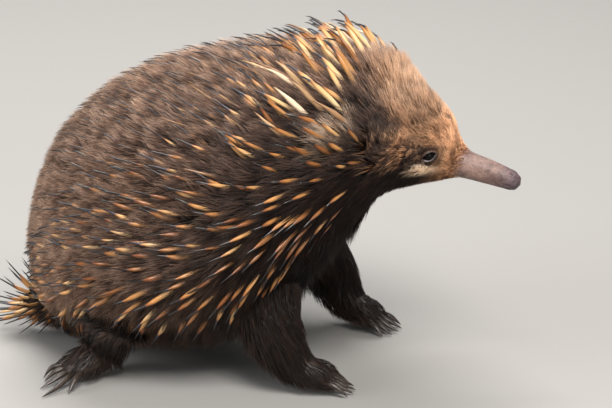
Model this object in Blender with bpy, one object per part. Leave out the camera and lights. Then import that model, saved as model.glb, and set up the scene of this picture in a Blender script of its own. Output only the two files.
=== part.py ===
# A life-size short-beaked echidna of the long-furred island form, standing with its head held out low.
# Metres, +Z up, beak towards +X. It stands on four feet, with the floor at z = 0.
# Every node is placed from the cross-sections of one body, from the tail's root to the tip of the beak.

import math
import random

import bmesh
import bpy
from mathutils import Matrix, Vector
from mathutils.bvhtree import BVHTree

GAP = 0.0003

# Cross-sections of the coat's outer form: x and z of the middle, lean of the section's axis in
# degrees, reach above and below the middle, half width, and how square the lower half is.
SECTIONS = {
    "tail root": (-0.1120, 0.0285, 35, 0.0000, 0.0000, 0.0000, 2.0),
    "seat": (-0.1070, 0.0340, 32, 0.0300, 0.0245, 0.0330, 2.1),
    "rump": (-0.0915, 0.0505, 27, 0.0610, 0.0410, 0.0640, 2.4),
    "hips": (-0.0665, 0.0735, 18, 0.0930, 0.0565, 0.0930, 2.8),
    "loin": (-0.0275, 0.0915, 8, 0.1125, 0.0700, 0.1135, 3.0),
    "back": (0.0180, 0.1055, -2, 0.1175, 0.0810, 0.1210, 3.0),
    "ribs": (0.0610, 0.1190, -12, 0.1135, 0.0880, 0.1160, 2.8),
    "shoulders": (0.0970, 0.1345, -20, 0.0985, 0.0830, 0.1010, 2.5),
    "nape": (0.1230, 0.1465, -27, 0.0680, 0.0590, 0.0715, 2.3),
    "crown": (0.1440, 0.1520, -30, 0.0470, 0.0325, 0.0460, 2.1),
    "eyes": (0.1645, 0.1535, -28, 0.0305, 0.0205, 0.0280, 2.0),
    "brow": (0.1765, 0.1510, -23, 0.0180, 0.0142, 0.0168, 2.0),
    "beak base": (0.1865, 0.1485, -20, 0.0110, 0.0100, 0.0105, 2.0),
    "beak middle": (0.2040, 0.1440, -18, 0.0087, 0.0081, 0.0080, 2.0),
    "nostrils": (0.2165, 0.1403, -20, 0.0073, 0.0069, 0.0068, 2.0),
    "lips": (0.2224, 0.1382, -22, 0.0056, 0.0055, 0.0056, 2.0),
    "beak tip": (0.2260, 0.1368, -22, 0.0000, 0.0000, 0.0000, 2.0),
}
# How far the coat stands over the solid core on the back, at the named sections. It halves on the belly.
COAT_OVER_CORE = {"tail root": 0.008, "hips": 0.013, "shoulders": 0.014, "nape": 0.012, "crown": 0.008, "eyes": 0.0}

# Locks of long fur and spines stand in columns that run from the crown to the tail, by turns.
COLUMN_PITCH = 0.036
LAST_COLUMN = 0.245
LOCK_PITCH = 0.034
LOCK_LENGTH = 0.050
LOCK_WIDTH = 0.027
LOCK_THICKNESS = 0.0050
LOCK_LIFT = (0.001, 0.006)
SHORT_LOCK_LIFT = -0.003
SPINE_PITCH = 0.023
SPINE_LENGTH = 0.044
SPINE_RADIUS = 0.0019
SPINE_REACH = {"tail root": 0.004, "back": 0.006, "shoulders": 0.012, "nape": 0.014, "crown": 0.006}
ROOT_DEPTH = 0.006

# The coat's lie in degrees from straight back, at angles round the body from its top: it turns up over
# the back, and down on the lower flank, most of all at the shoulders.
LIE_ROUND = (0, 25, 50, 75, 90, 105, 120, 140, 160, 180)
LIE_FLANK = (0, 9, 16, 18, 12, -8, -40, -68, -80, -60)
LIE_SHOULDER = (0, 6, 12, 0, -24, -50, -68, -78, -80, -60)
# Between these angles round the body the coat turns from lying on it to hanging free.
HANG_STARTS = 98
HANG_ENDS = 126
HANG_STRETCH = 0.55
CHEST_LAST_COLUMN = 0.325
CHEST_LOCK_SIZE = 0.70
CHEST_LOCK_PITCH = 0.024
FLOOR_CLEARANCE = 0.008

HEAD_STARTS = "nape"
HEAD_START_SHIFT = -0.004
BEAK_STARTS = "beak base"
BEAK_START_SHIFT = -0.002

EYE_RADIUS = 0.0045
EYE_AT = Vector((0.1668, 0.0228, 0.1595))
LID_THICKNESS = 0.0012

EAR_SIZE = (0.0065, 0.0055, 0.0110)
EAR_SLIT = (0.0024, 0.0045, 0.0078)
EAR_TUFT_LENGTH = 0.026
EAR_TUFT_RISES = (-0.6, 0.1, 0.8)
EAR_TUFT_WIDTHS = (0.0030, 0.0042, 0.0034, 0)
CROWN_LOCK_PITCH = 0.021
CROWN_LOCK_SIZE = 0.62
CROWN_BEFORE_SEAM = 0.008

TAIL_ROOT = Vector((-0.088, 0, 0.035))
TAIL_TIP = Vector((-0.125, 0, 0.022))
TAIL_RADIUS = 0.016
TAIL_SPINE_LENGTH = 0.036

FORE_HIP = Vector((0.060, 0.042, 0.085))
FORE_ELBOW = Vector((0.070, 0.070, 0.048))
FORE_WRIST = Vector((0.088, 0.071, 0.020))
FORE_TOES = Vector((0.110, 0.066, 0.009))
FORE_RADII = (0.028, 0.024, 0.015)
FORE_CLAW = 0.020
HIND_HIP = Vector((-0.040, 0.040, 0.075))
HIND_KNEE = Vector((-0.038, 0.072, 0.044))
HIND_HEEL = Vector((-0.050, 0.074, 0.018))
HIND_TOES = Vector((-0.066, 0.096, 0.009))
HIND_RADII = (0.026, 0.022, 0.014)
HIND_CLAWS = (0.018, 0.036, 0.026, 0.016, 0.012)

COLOURS = {
    "coat": ((0.17, 0.10, 0.06, 1.0), 0.9),
    "face": ((0.42, 0.24, 0.13, 1.0), 0.85),
    "skin": ((0.24, 0.16, 0.14, 1.0), 0.6),
    "eye": ((0.01, 0.01, 0.012, 1.0), 0.08),
    "paw": ((0.08, 0.055, 0.045, 1.0), 0.7),
}


def clear_scene():
    for item in list(bpy.data.objects):
        bpy.data.objects.remove(item)


def material(name):
    made = bpy.data.materials.get(name) or bpy.data.materials.new(name)
    made.use_nodes = True
    shader = made.node_tree.nodes["Principled BSDF"]
    colour, roughness = COLOURS[name]
    shader.inputs["Base Color"].default_value = colour
    shader.inputs["Roughness"].default_value = roughness
    shader.inputs["Metallic"].default_value = 0.0
    return made


def smooth_rows(places, rows, at):
    # One row of values at the place `at`, on the smooth curve through all the rows.
    i = max(j for j in range(len(places) - 1) if places[j] <= at or j == 0)
    i = min(i, len(places) - 2)
    step = places[i + 1] - places[i]
    t = (at - places[i]) / step

    def slope(j):
        low, high = max(j - 1, 0), min(j + 1, len(rows) - 1)
        return [(b - a) / (places[high] - places[low]) for a, b in zip(rows[low], rows[high])]

    weights = (2 * t**3 - 3 * t**2 + 1, t**3 - 2 * t**2 + t, -2 * t**3 + 3 * t**2, t**3 - t**2)
    columns = zip(rows[i], slope(i), rows[i + 1], slope(i + 1))
    return [
        weights[0] * a + weights[1] * step * da + weights[2] * b + weights[3] * step * db
        for a, da, b, db in columns
    ]


ROWS = list(SECTIONS.values())
PLACES = [0.0]
for before, after in zip(ROWS, ROWS[1:]):
    PLACES.append(PLACES[-1] + math.hypot(after[0] - before[0], after[1] - before[1]))
PLACE_OF = dict(zip(SECTIONS, PLACES))
LENGTH = PLACES[-1]


def along_body(table, place):
    # The value at `place` of a size that is given at some of the named sections.
    places = [PLACE_OF[name] for name in table]
    values = [[value] for value in table.values()]
    return smooth_rows(places, values, min(max(place, places[0]), places[-1]))[0]


def core_depth(place, angle):
    belly = max(0.0, -math.cos(angle)) ** 2
    return along_body(COAT_OVER_CORE, place) * (1 - 0.5 * belly)


def body_point(place, angle, grow):
    # A point round the section at `place`, `angle` radians from the top, `grow` metres outside the coat.
    x, z, lean, above, below, half_width, square = smooth_rows(PLACES, ROWS, place)
    up = Vector((-math.sin(math.radians(lean)), 0, math.cos(math.radians(lean))))
    power = 2 / (square if math.cos(angle) < 0 else 2)
    reach = max(above if math.cos(angle) >= 0 else below, 0)
    side = max(half_width, 0)
    cosine = math.copysign(abs(math.cos(angle)) ** power, math.cos(angle))
    sine = math.copysign(abs(math.sin(angle)) ** power, math.sin(angle))
    thin = min(reach, side)
    grow = max(grow, -0.9 * thin)
    return Vector((x, 0, z)) + up * cosine * (reach + grow) + Vector((0, sine * (side + grow), 0))


def body_rings(start, end, count, sides, grow):
    # Rings of points from `start` to `end`; they crowd towards an end that closes to a point.
    rings = []
    for i in range(count + 1):
        share = i / count
        if start == 0:
            share = 1 - math.cos(share * math.pi / 2)
        if end == LENGTH:
            share = math.sin(share * math.pi / 2)
        place = start + (end - start) * share
        angles = [2 * math.pi * k / sides for k in range(sides)]
        rings.append([body_point(place, angle, grow(place, angle)) for angle in angles])
    return rings


def loft(name, rings, colour):
    # A closed mesh through rings of points. A ring with no size becomes a single point.
    shape = bmesh.new()
    loops = []
    for ring in rings:
        middle = sum(ring, Vector()) / len(ring)
        if max((point - middle).length for point in ring) < 1e-4:
            loops.append([shape.verts.new(middle)])
        else:
            loops.append([shape.verts.new(point) for point in ring])
    for first, second in zip(loops, loops[1:]):
        count = max(len(first), len(second))
        for k in range(count):
            n = (k + 1) % count
            corners = [first[k % len(first)], first[n % len(first)], second[n % len(second)], second[k % len(second)]]
            unique = [v for j, v in enumerate(corners) if v not in corners[:j]]
            shape.faces.new(unique)
    for loop in (loops[0], loops[-1]):
        if len(loop) > 2:
            shape.faces.new(loop)
    bmesh.ops.recalc_face_normals(shape, faces=shape.faces)
    return finish_shape(name, shape, colour)


def finish_shape(name, shape, colour):
    mesh = bpy.data.meshes.new(name)
    shape.to_mesh(mesh)
    shape.free()
    made = bpy.data.objects.new(name, mesh)
    bpy.context.scene.collection.objects.link(made)
    mesh.materials.append(material(colour))
    mesh.shade_smooth()
    return made


def stem(name, path, widths, depths, sides, colour, up=Vector((0, 0, 1))):
    # A limb, claw or spine: oval rings along a path, closed at both ends, pointed where the width is 0.
    rings = []
    for i, point in enumerate(path):
        along = (path[min(i + 1, len(path) - 1)] - path[max(i - 1, 0)]).normalized()
        side = along.cross(up).normalized()
        over = side.cross(along).normalized()
        turn = [2 * math.pi * k / sides for k in range(sides)]
        rings.append([point + side * widths[i] * math.sin(a) + over * depths[i] * math.cos(a) for a in turn])
    return loft(name, rings, colour)


def ball(name, centre, radii, colour, segments=16, rings=10, turn=None):
    shape = bmesh.new()
    place = Matrix.Translation(centre) @ (turn or Matrix.Identity(4)) @ Matrix.Diagonal((*radii, 1))
    bmesh.ops.create_uvsphere(shape, u_segments=segments, v_segments=rings, radius=1, matrix=place)
    return finish_shape(name, shape, colour)


def apply_boolean(target, others, operation, solver="EXACT"):
    # Joins or cuts closed meshes, with the helpers then removed.
    group = bpy.data.collections.new("helpers")
    bpy.context.scene.collection.children.link(group)
    for other in others:
        group.objects.link(other)
    step = target.modifiers.new(operation.title(), "BOOLEAN")
    step.operation = operation
    step.operand_type = "COLLECTION"
    step.collection = group
    step.solver = solver
    with bpy.context.temp_override(object=target, active_object=target, selected_objects=[target]):
        bpy.ops.object.modifier_apply(modifier=step.name)
    for other in others:
        bpy.data.objects.remove(other)
    bpy.data.collections.remove(group)


def keep_largest(target):
    # Leaves only the largest closed surface of a mesh.
    shape = bmesh.new()
    shape.from_mesh(target.data)
    left = set(shape.faces)
    groups = []
    while left:
        queue = [left.pop()]
        group = set(queue)
        while queue:
            face = queue.pop()
            for edge in face.edges:
                for near in edge.link_faces:
                    if near in left:
                        left.discard(near)
                        group.add(near)
                        queue.append(near)
        groups.append(group)
    largest = max(groups, key=lambda group: sum(face.calc_area() for face in group))
    loose = [face for group in groups if group is not largest for face in group]
    bmesh.ops.delete(shape, geom=loose, context="FACES")
    shape.to_mesh(target.data)
    shape.free()


def grown_copy(source, by):
    # A copy of a closed mesh with every face moved outwards, which cuts what meets the first one.
    shape = bmesh.new()
    shape.from_mesh(source.data)
    bmesh.ops.triangulate(shape, faces=shape.faces)
    shape.normal_update()
    moves = [vertex.normal * by * min(vertex.calc_shell_factor(), 2.0) for vertex in shape.verts]
    for vertex, move in zip(shape.verts, moves):
        vertex.co += move
    return finish_shape("cutter", shape, "coat")


def mirrored(point, side):
    return Vector((point.x, point.y * side, point.z))


def core_grow(place, angle):
    return -core_depth(place, angle)


def column_angles():
    # Angles round the widest section that are half a pitch apart along the coat, from the middle of
    # the back, each with its distance down the flank.
    place = PLACE_OF["back"]
    columns = [(0.0, 0.0)]
    walked, angle, step = 0.0, 0.0, math.radians(0.5)
    here = body_point(place, 0, 0)
    while walked < CHEST_LAST_COLUMN:
        angle += step
        there = body_point(place, angle, 0)
        walked += (there - here).length
        here = there
        if walked >= len(columns) * COLUMN_PITCH / 2:
            columns.append((angle, walked))
    return columns


def surface_step(place, angle, grow):
    # How far the surface point moves for each metre along the middle of the body.
    ahead = body_point(min(place + 0.001, LENGTH), angle, grow)
    behind = body_point(max(place - 0.001, 0), angle, grow)
    return (ahead - behind).length / 0.002


def walk_back(place, angle, distance):
    # The place that is `distance` along the surface behind `place`, in short steps.
    steps = max(1, round(distance / 0.004))
    for _ in range(steps):
        place -= distance / steps / max(surface_step(place, angle, 0), 0.5)
    return place


def share_between(value, start, end):
    return min(max((value - start) / (end - start), 0.0), 1.0)


def on_line(at, marks, values):
    # The value at `at` on straight lines through the values at the marks.
    for mark, after, low, high in zip(marks, marks[1:], values, values[1:]):
        if at <= after:
            return low + (high - low) * (at - mark) / (after - mark)
    return values[-1]


def lie_turn(place, angle):
    # How far the coat turns up from straight back here, in radians.
    degrees = math.degrees(abs(angle))
    flank, shoulder = (on_line(degrees, LIE_ROUND, row) for row in (LIE_FLANK, LIE_SHOULDER))
    front = share_between(place, PLACE_OF["back"], PLACE_OF["shoulders"])
    head = share_between(place, PLACE_OF["nape"], PLACE_OF["crown"])
    return math.radians((flank + (shoulder - flank) * front) * (1 - head))


def hang_share(angle):
    return share_between(math.degrees(abs(angle)), HANG_STARTS, HANG_ENDS)


def lay_path(place, column, length, lift, veer, stations):
    # A path that starts under the core's surface, rises through the coat and ends `lift` over its outer form.
    angle, _, turned = column
    side = math.copysign(1, angle)
    path = []
    before = 0.0
    root = -core_depth(place, angle) - ROOT_DEPTH
    for share in stations:
        step = (share - before) * length
        before = share
        turn = lie_turn(place, angle) * turned + veer
        around = (body_point(place, angle + 0.01, 0) - body_point(place, angle - 0.01, 0)).length / 0.02
        place = walk_back(place, angle, step * math.cos(turn))
        angle -= side * math.sin(turn) * step / max(around, 0.02)
        height = root + (lift - root) * (1 - (1 - share) ** 1.4)
        path.append(body_point(max(place, 0.002), angle, height))
    return path


def hang_path(place, column, length, veer, stations):
    # A path that leaves the core outwards along the coat's lie, and sinks as it hangs free.
    angle = column[0]
    side = math.copysign(1, angle)
    depth = -core_depth(place, angle)
    point = body_point(place, angle, depth - ROOT_DEPTH)
    back = (body_point(place - 0.002, angle, depth) - body_point(place + 0.002, angle, depth)).normalized()
    around = (body_point(place, angle + 0.02, depth) - body_point(place, angle - 0.02, depth)).normalized()
    normal = around.cross(back).normalized()
    turn = lie_turn(place, angle) + veer
    lie = back * math.cos(turn) - around * side * math.sin(turn)
    path = [point]
    for before, share in zip(stations, stations[1:]):
        aim = lie * 0.75 + Vector((0, 0, -0.55)) + normal * (0.80 - 0.75 * share)
        point = point + aim.normalized() * length * (share - before)
        path.append(point)
    return path


def coat_path(place, column, length, lift, veer, stations):
    # Lies along the body, hangs longer where the flank turns under it, and stays over the floor.
    hang = column[1]
    length *= 1 + HANG_STRETCH * hang
    path = lay_path(place, column, length, lift, veer, stations)
    if hang > 0:
        hung = hang_path(place, column, length, veer, stations)
        path = [a.lerp(b, hang) for a, b in zip(path, hung)]
    low = min(point.z for point in path)
    if low < FLOOR_CLEARANCE:
        keep = max((path[0].z - FLOOR_CLEARANCE) / (path[0].z - low), 0.05)
        path = [path[0].lerp(point, keep) for point in path]
    return path


def lean_up(path):
    # The direction away from the body, square to a path.
    along = (path[-1] - path[0]).normalized()
    away = path[len(path) // 2] - Vector((path[0].x, 0, 0.085))
    return (away - along * away.dot(along)).normalized()


def make_lock(path, width, thickness):
    shape = [0.75, 1.0, 0.85, 0.5, 0.0][-len(path):]
    widths = [width / 2 * share for share in shape]
    depths = [thickness / 2 * max(share, 0.4) if share else 0.0 for share in shape]
    return stem("lock", path, widths, depths, 4, "coat", lean_up(path))


def make_spine(path, radius):
    shape = [0.8, 1.0, 0.0]
    return stem("spine", path, [radius * s for s in shape], [radius * s for s in shape], 3, "coat", lean_up(path))


def tree_of(item, by=0.0):
    shape = bmesh.new()
    shape.from_mesh(item.data)
    shape.normal_update()
    for vertex in shape.verts:
        vertex.co += vertex.normal * by
    tree = BVHTree.FromBMesh(shape)
    shape.free()
    return tree


def clear_of(piece, trees):
    # True where a piece, a little larger than it is, touches none of the trees and stays over the floor.
    if min(vertex.co.z for vertex in piece.data.vertices) < 0.004:
        return False
    own = tree_of(piece, 0.0006)
    return not any(own.overlap(tree) for tree in trees)


def column_width(place, angle):
    # Room that one lock has between its neighbours, which close up towards the tail and the brow.
    back = PLACE_OF["back"]
    spread = math.radians(4)

    def across(at):
        return (body_point(at, angle + spread, 0) - body_point(at, angle - spread, 0)).length

    return min(across(place) / across(back), 1.15)


def grow_column(column, start, stop, pitch, offset, make_piece):
    # Calls `make_piece(place, column)` at even steps along one column, from the head towards the tail.
    place = walk_back(start, column[0], offset)
    while place > stop:
        make_piece(place, column)
        place = walk_back(place, column[0], pitch)


class Coat:
    # Makes the locks and spines of one node, without those that would meet other nodes.

    def __init__(self, blocked, seed):
        self.blocked = blocked
        self.draw = random.Random(seed)
        self.pieces = []

    def keep(self, piece):
        if clear_of(piece, self.blocked):
            self.pieces.append(piece)
        else:
            bpy.data.objects.remove(piece)

    def veer(self):
        return math.radians(self.draw.uniform(-6, 6))

    def lock(self, place, column, size=1.0, least_room=0.30, stations=(0, 0.25, 0.5, 0.78, 1)):
        room = column_width(place, column[0])
        length = LOCK_LENGTH * size * self.draw.uniform(0.9, 1.12)
        lift = self.draw.uniform(*LOCK_LIFT) if size == 1 else SHORT_LOCK_LIFT
        veer = self.veer()
        if room > least_room:
            path = coat_path(place, column, length, lift, veer, stations)
            self.keep(make_lock(path, LOCK_WIDTH * room, LOCK_THICKNESS * max(size, 0.75)))

    def spine(self, place, column):
        angle, hang, turned = column
        reach = along_body(SPINE_REACH, place) * self.draw.uniform(0.7, 1.2) * (0.5 + 0.5 * math.cos(angle / 2))
        length = SPINE_LENGTH * self.draw.uniform(0.85, 1.15)
        beside = angle + math.radians(self.draw.uniform(-2, 2))
        veer = self.veer()
        if column_width(place, angle) > 0.30:
            path = coat_path(place, (beside, hang, turned), length, reach, veer, (0, 0.3, 1))
            path[1] = path[0].lerp(path[2], 0.3)
            self.keep(make_spine(path, SPINE_RADIUS * self.draw.uniform(0.85, 1.1)))


def make_torso(head_place):
    rings = body_rings(0, head_place - GAP / 2, 20, 28, core_grow)
    return loft("torso", rings, "coat")


def grow_torso_coat(torso, head_place, others):
    # Columns of locks and columns of spines by turns, the same on both sides, and locks alone on the chest.
    coat = Coat([tree_of(other) for other in others], 3)
    start, stop = head_place - 0.004, 0.020

    def chest_lock(place, column):
        coat.lock(place, (column[0], 0, 0), CHEST_LOCK_SIZE, 0.2, (0, 0.35, 0.7, 1))

    for number, (angle, down_flank) in enumerate(column_angles()):
        for side in (1, -1) if number else (1,):
            column = (angle * side, hang_share(angle), 1)
            offset = coat.draw.uniform(0.05, 0.20) * (number % 4 + 1)
            if down_flank > LAST_COLUMN:
                if number % 2 == 0:
                    grow_column(column, start, PLACE_OF["ribs"], CHEST_LOCK_PITCH, 0, chest_lock)
            elif number % 2 == 0:
                grow_column(column, start, stop, LOCK_PITCH, LOCK_PITCH * offset, coat.lock)
            else:
                grow_column(column, start, stop, SPINE_PITCH, SPINE_PITCH * offset, coat.spine)
    apply_boolean(torso, coat.pieces, "UNION", "MANIFOLD")
    keep_largest(torso)


def grow_crown(head, head_place, others):
    # Short locks from the brow and throat backwards. The last of them lie over the seam with the torso.
    coat = Coat([tree_of(other) for other in others], 5)

    def crown_lock(place, column):
        coat.lock(place, column, CROWN_LOCK_SIZE, 0.2, (0, 0.35, 0.7, 1))

    start = PLACE_OF["crown"] + 0.008
    for number, (angle, _) in enumerate(column_angles()):
        if number % 2:
            continue
        for side in (1, -1) if number else (1,):
            offset = CROWN_LOCK_PITCH * (0.2 + 0.5 * (number // 2 % 2))
            stop = head_place + CROWN_BEFORE_SEAM
            grow_column((angle * side, 0, 1), start, stop, CROWN_LOCK_PITCH, offset, crown_lock)
    apply_boolean(head, coat.pieces, "UNION", "MANIFOLD")
    keep_largest(head)


def make_head(head_place, beak_place):
    rings = body_rings(head_place + GAP / 2, beak_place - GAP / 2, 12, 28, core_grow)
    head = loft("head", rings, "face")
    lids = []
    sockets = []
    for side in (1, -1):
        centre = mirrored(EYE_AT, side)
        lid_radius = EYE_RADIUS + LID_THICKNESS
        lids.append(ball("lid", centre, [lid_radius] * 3, "face", 12, 8))
        sockets.append(ball("socket", centre, [EYE_RADIUS + GAP] * 3, "face", 12, 8))
        outward = Vector((0.45, side, 0.22)).normalized()
        opening = [centre, centre + outward * 0.5 * lid_radius, centre + outward * 3 * lid_radius]
        sockets.append(stem("opening", opening, [0.0040, 0.0041, 0.0070], [0.0028, 0.0029, 0.0050], 10, "face"))
    apply_boolean(head, lids, "UNION")
    apply_boolean(head, sockets, "DIFFERENCE")
    keep_largest(head)
    return head


def make_eyes():
    for side, word in ((1, "left"), (-1, "right")):
        ball("eye_" + word, mirrored(EYE_AT, side), [EYE_RADIUS] * 3, "eye", 12, 8)


def make_beak(beak_place):
    rings = body_rings(beak_place + GAP / 2, LENGTH, 10, 16, core_grow)
    beak = loft("beak", rings, "skin")
    tip = body_point(LENGTH, 0, 0)
    nostril_place = PLACE_OF["nostrils"]
    cuts = []
    for side in (1, -1):
        rim = body_point(nostril_place + 0.002, side * math.radians(32), 0)
        cuts.append(ball("nostril", rim, (0.0014, 0.0008, 0.0011), "skin", 8, 6))
    mouth_middle = tip + Vector((-0.005, 0, -0.0018))
    lean = Matrix.Rotation(math.radians(14), 4, "Y")
    cuts.append(ball("mouth", mouth_middle, (0.0075, 0.0075, 0.0004), "skin", 16, 6, lean))
    apply_boolean(beak, cuts, "DIFFERENCE")
    keep_largest(beak)
    return beak


def make_ears(head_place, head, torso):
    # A fleshy rim round an upright slit, with a tuft of long hair that points backwards.
    ears = []
    for side, word in ((1, "left"), (-1, "right")):
        place = head_place + 0.014
        turn = side * math.radians(66)
        seat = body_point(place, turn, -core_depth(place, turn) + 0.003)
        out = (seat - body_point(place, turn, -0.02)).normalized()
        ear = ball("ear_" + word, seat, EAR_SIZE, "face", 12, 8)
        slit = ball("slit", seat + out * 0.0050 + Vector((0.0012, 0, 0)), EAR_SLIT, "face", 8, 6)
        apply_boolean(ear, [slit], "DIFFERENCE")
        tufts = []
        for rise in EAR_TUFT_RISES:
            root = seat + Vector((-0.001, 0, rise * 0.010)) - out * 0.001
            aim = (Vector((-1, 0, 0.12 + 0.3 * rise)) + out * 0.55).normalized()
            bend = root + aim * EAR_TUFT_LENGTH * 0.5
            tip = root + (aim + Vector((-0.1, 0, -0.06))).normalized() * EAR_TUFT_LENGTH
            path = [root, root.lerp(bend, 0.5), bend, tip]
            tufts.append(stem("tuft", path, EAR_TUFT_WIDTHS, [0.0012, 0.0014, 0.0012, 0], 4, "face", out))
        apply_boolean(ear, tufts, "UNION")
        apply_boolean(ear, [grown_copy(near, GAP) for near in (head, torso)], "DIFFERENCE")
        keep_largest(ear)
        ears.append(ear)
    return ears


def make_tail(torso):
    path = [TAIL_ROOT.lerp(TAIL_TIP, share) for share in (0, 0.35, 0.7, 0.9, 1.0)]
    widths = [TAIL_RADIUS * share for share in (1.0, 1.0, 0.85, 0.55, 0.0)]
    tail = stem("tail", path, widths, widths, 14, "coat")
    back = (TAIL_TIP - TAIL_ROOT).normalized()
    spines = []
    draw = random.Random(8)
    for row, (share, tilt, count) in enumerate(((0.60, 56, 10), (0.84, 28, 7))):
        for k in range(count):
            turn = math.radians(-115 + 230 * k / (count - 1) + draw.uniform(-5, 5))
            out = Vector((0, math.sin(turn), math.cos(turn)))
            lean = math.radians(tilt + draw.uniform(-6, 6))
            aim = (back * math.cos(lean) + out * math.sin(lean)).normalized()
            root = TAIL_ROOT.lerp(TAIL_TIP, share) + out * TAIL_RADIUS * 0.25
            reach = TAIL_SPINE_LENGTH * draw.uniform(0.9, 1.1)
            points = [root, root + aim * reach * 0.4, root + aim * reach]
            spine = stem("spine", points, [0.0016, 0.0019, 0], [0.0016, 0.0019, 0], 4, "coat", Vector((0.2, 1, 0.1)))
            if clear_of(spine, []):
                spines.append(spine)
            else:
                bpy.data.objects.remove(spine)
    apply_boolean(tail, spines, "UNION")
    apply_boolean(tail, [grown_copy(torso, GAP)], "DIFFERENCE")
    keep_largest(tail)
    return tail


def make_leg(name, torso, side, joints, radii, toes, claws, spread):
    # A smooth limb through its joints, then the foot and its claws, cut level with the floor.
    rows = [(*mirrored(joint, side), radius) for joint, radius in zip(joints, radii)]
    bends = [smooth_rows(range(len(rows)), rows, k / 3) for k in range(3 * len(rows) - 2)]
    path = [Vector(bend[:3]) for bend in bends]
    widths = [bend[3] for bend in bends]
    leg = stem(name, path, widths, widths, 12, "paw")
    front = mirrored(toes, side)
    ahead = (front - path[-1]).normalized()
    across = Vector((0, 0, 1)).cross(ahead) * side
    parts = []
    sole = [path[-1] - ahead * 0.010, path[-1], path[-1].lerp(front, 0.5), front, front + ahead * 0.004]
    parts.append(stem("sole", sole, [0.004, 0.012, 0.014, 0.015, 0.010], [0.005, 0.012, 0.011, 0.009, 0.006], 12, "paw"))
    for k, reach in enumerate(claws):
        fan = spread * (k - (len(claws) - 1) / 2)
        aim = (ahead * math.cos(fan) + across * math.sin(fan)).normalized()
        root = front + across * 0.0052 * (k - (len(claws) - 1) / 2) - ahead * 0.004
        tip_z = 0.0012
        bend = root + aim * (0.004 + reach * 0.55) + Vector((0, 0, 0.001))
        end = root + aim * (0.004 + reach)
        end.z = tip_z
        parts.append(stem("claw", [root, bend, end], [0.0026, 0.0024, 0.0006], [0.0024, 0.0020, 0.0006], 6, "paw"))
    apply_boolean(leg, parts, "UNION")
    slab = bmesh.new()
    place = Matrix.Translation((path[-1].x, path[-1].y, -0.05)) @ Matrix.Diagonal((0.3, 0.3, 0.1, 1))
    bmesh.ops.create_cube(slab, size=1, matrix=place)
    floor = finish_shape("floor", slab, "paw")
    apply_boolean(leg, [floor, grown_copy(torso, GAP)], "DIFFERENCE")
    keep_largest(leg)
    return leg


def make_legs(torso):
    legs = []
    for side, word in ((1, "left"), (-1, "right")):
        fore = [FORE_HIP, FORE_ELBOW, FORE_WRIST]
        claws = [FORE_CLAW * share for share in (0.75, 0.95, 1.0, 0.95, 0.75)]
        legs.append(make_leg("foreleg_" + word, torso, side, fore, FORE_RADII, FORE_TOES, claws, math.radians(9)))
        hind = [HIND_HIP, HIND_KNEE, HIND_HEEL]
        spread = math.radians(14)
        legs.append(make_leg("hindleg_" + word, torso, side, hind, HIND_RADII, HIND_TOES, HIND_CLAWS, spread))
    return legs


def set_on_origin():
    # The origin is under the middle of the whole animal, on the floor.
    nodes = [item for item in bpy.context.scene.objects if item.type == "MESH"]
    points = [vertex.co for item in nodes for vertex in item.data.vertices]
    middle_x = (min(p.x for p in points) + max(p.x for p in points)) / 2
    middle_y = (min(p.y for p in points) + max(p.y for p in points)) / 2
    low = min(p.z for p in points)
    for item in nodes:
        item.data.transform(Matrix.Translation((-middle_x, -middle_y, -low)))


def main():
    clear_scene()
    head_place = PLACE_OF[HEAD_STARTS] + HEAD_START_SHIFT
    beak_place = PLACE_OF[BEAK_STARTS] + BEAK_START_SHIFT
    torso = make_torso(head_place)
    head = make_head(head_place, beak_place)
    make_eyes()
    make_beak(beak_place)
    ears = make_ears(head_place, head, torso)
    tail = make_tail(torso)
    legs = make_legs(torso)
    grow_crown(head, head_place, [torso, *ears])
    grow_torso_coat(torso, head_place, [head, tail, *ears, *legs])
    set_on_origin()


main()
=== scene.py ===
# Short-beaked echidna: one skin under long fur and spines, with eyes, lids, ears and claws,
# on a pale studio floor.
import math

import bpy
import numpy as np
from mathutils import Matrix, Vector
from mathutils.bvhtree import BVHTree
from mathutils.kdtree import KDTree


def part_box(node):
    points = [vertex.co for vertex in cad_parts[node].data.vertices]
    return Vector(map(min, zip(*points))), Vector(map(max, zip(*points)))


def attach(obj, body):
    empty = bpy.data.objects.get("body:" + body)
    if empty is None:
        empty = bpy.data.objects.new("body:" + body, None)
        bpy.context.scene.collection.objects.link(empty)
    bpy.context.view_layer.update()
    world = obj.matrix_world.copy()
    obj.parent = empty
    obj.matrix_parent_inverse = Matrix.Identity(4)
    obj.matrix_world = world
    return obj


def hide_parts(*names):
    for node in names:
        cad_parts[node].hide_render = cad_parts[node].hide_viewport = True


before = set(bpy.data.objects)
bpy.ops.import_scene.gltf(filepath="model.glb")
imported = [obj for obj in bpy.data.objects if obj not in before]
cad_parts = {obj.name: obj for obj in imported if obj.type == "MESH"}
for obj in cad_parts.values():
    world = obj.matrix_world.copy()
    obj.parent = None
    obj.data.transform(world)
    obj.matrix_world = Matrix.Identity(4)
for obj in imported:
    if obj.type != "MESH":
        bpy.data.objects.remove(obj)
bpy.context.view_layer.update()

print("frame loaded")

mm = 0.001

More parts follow.
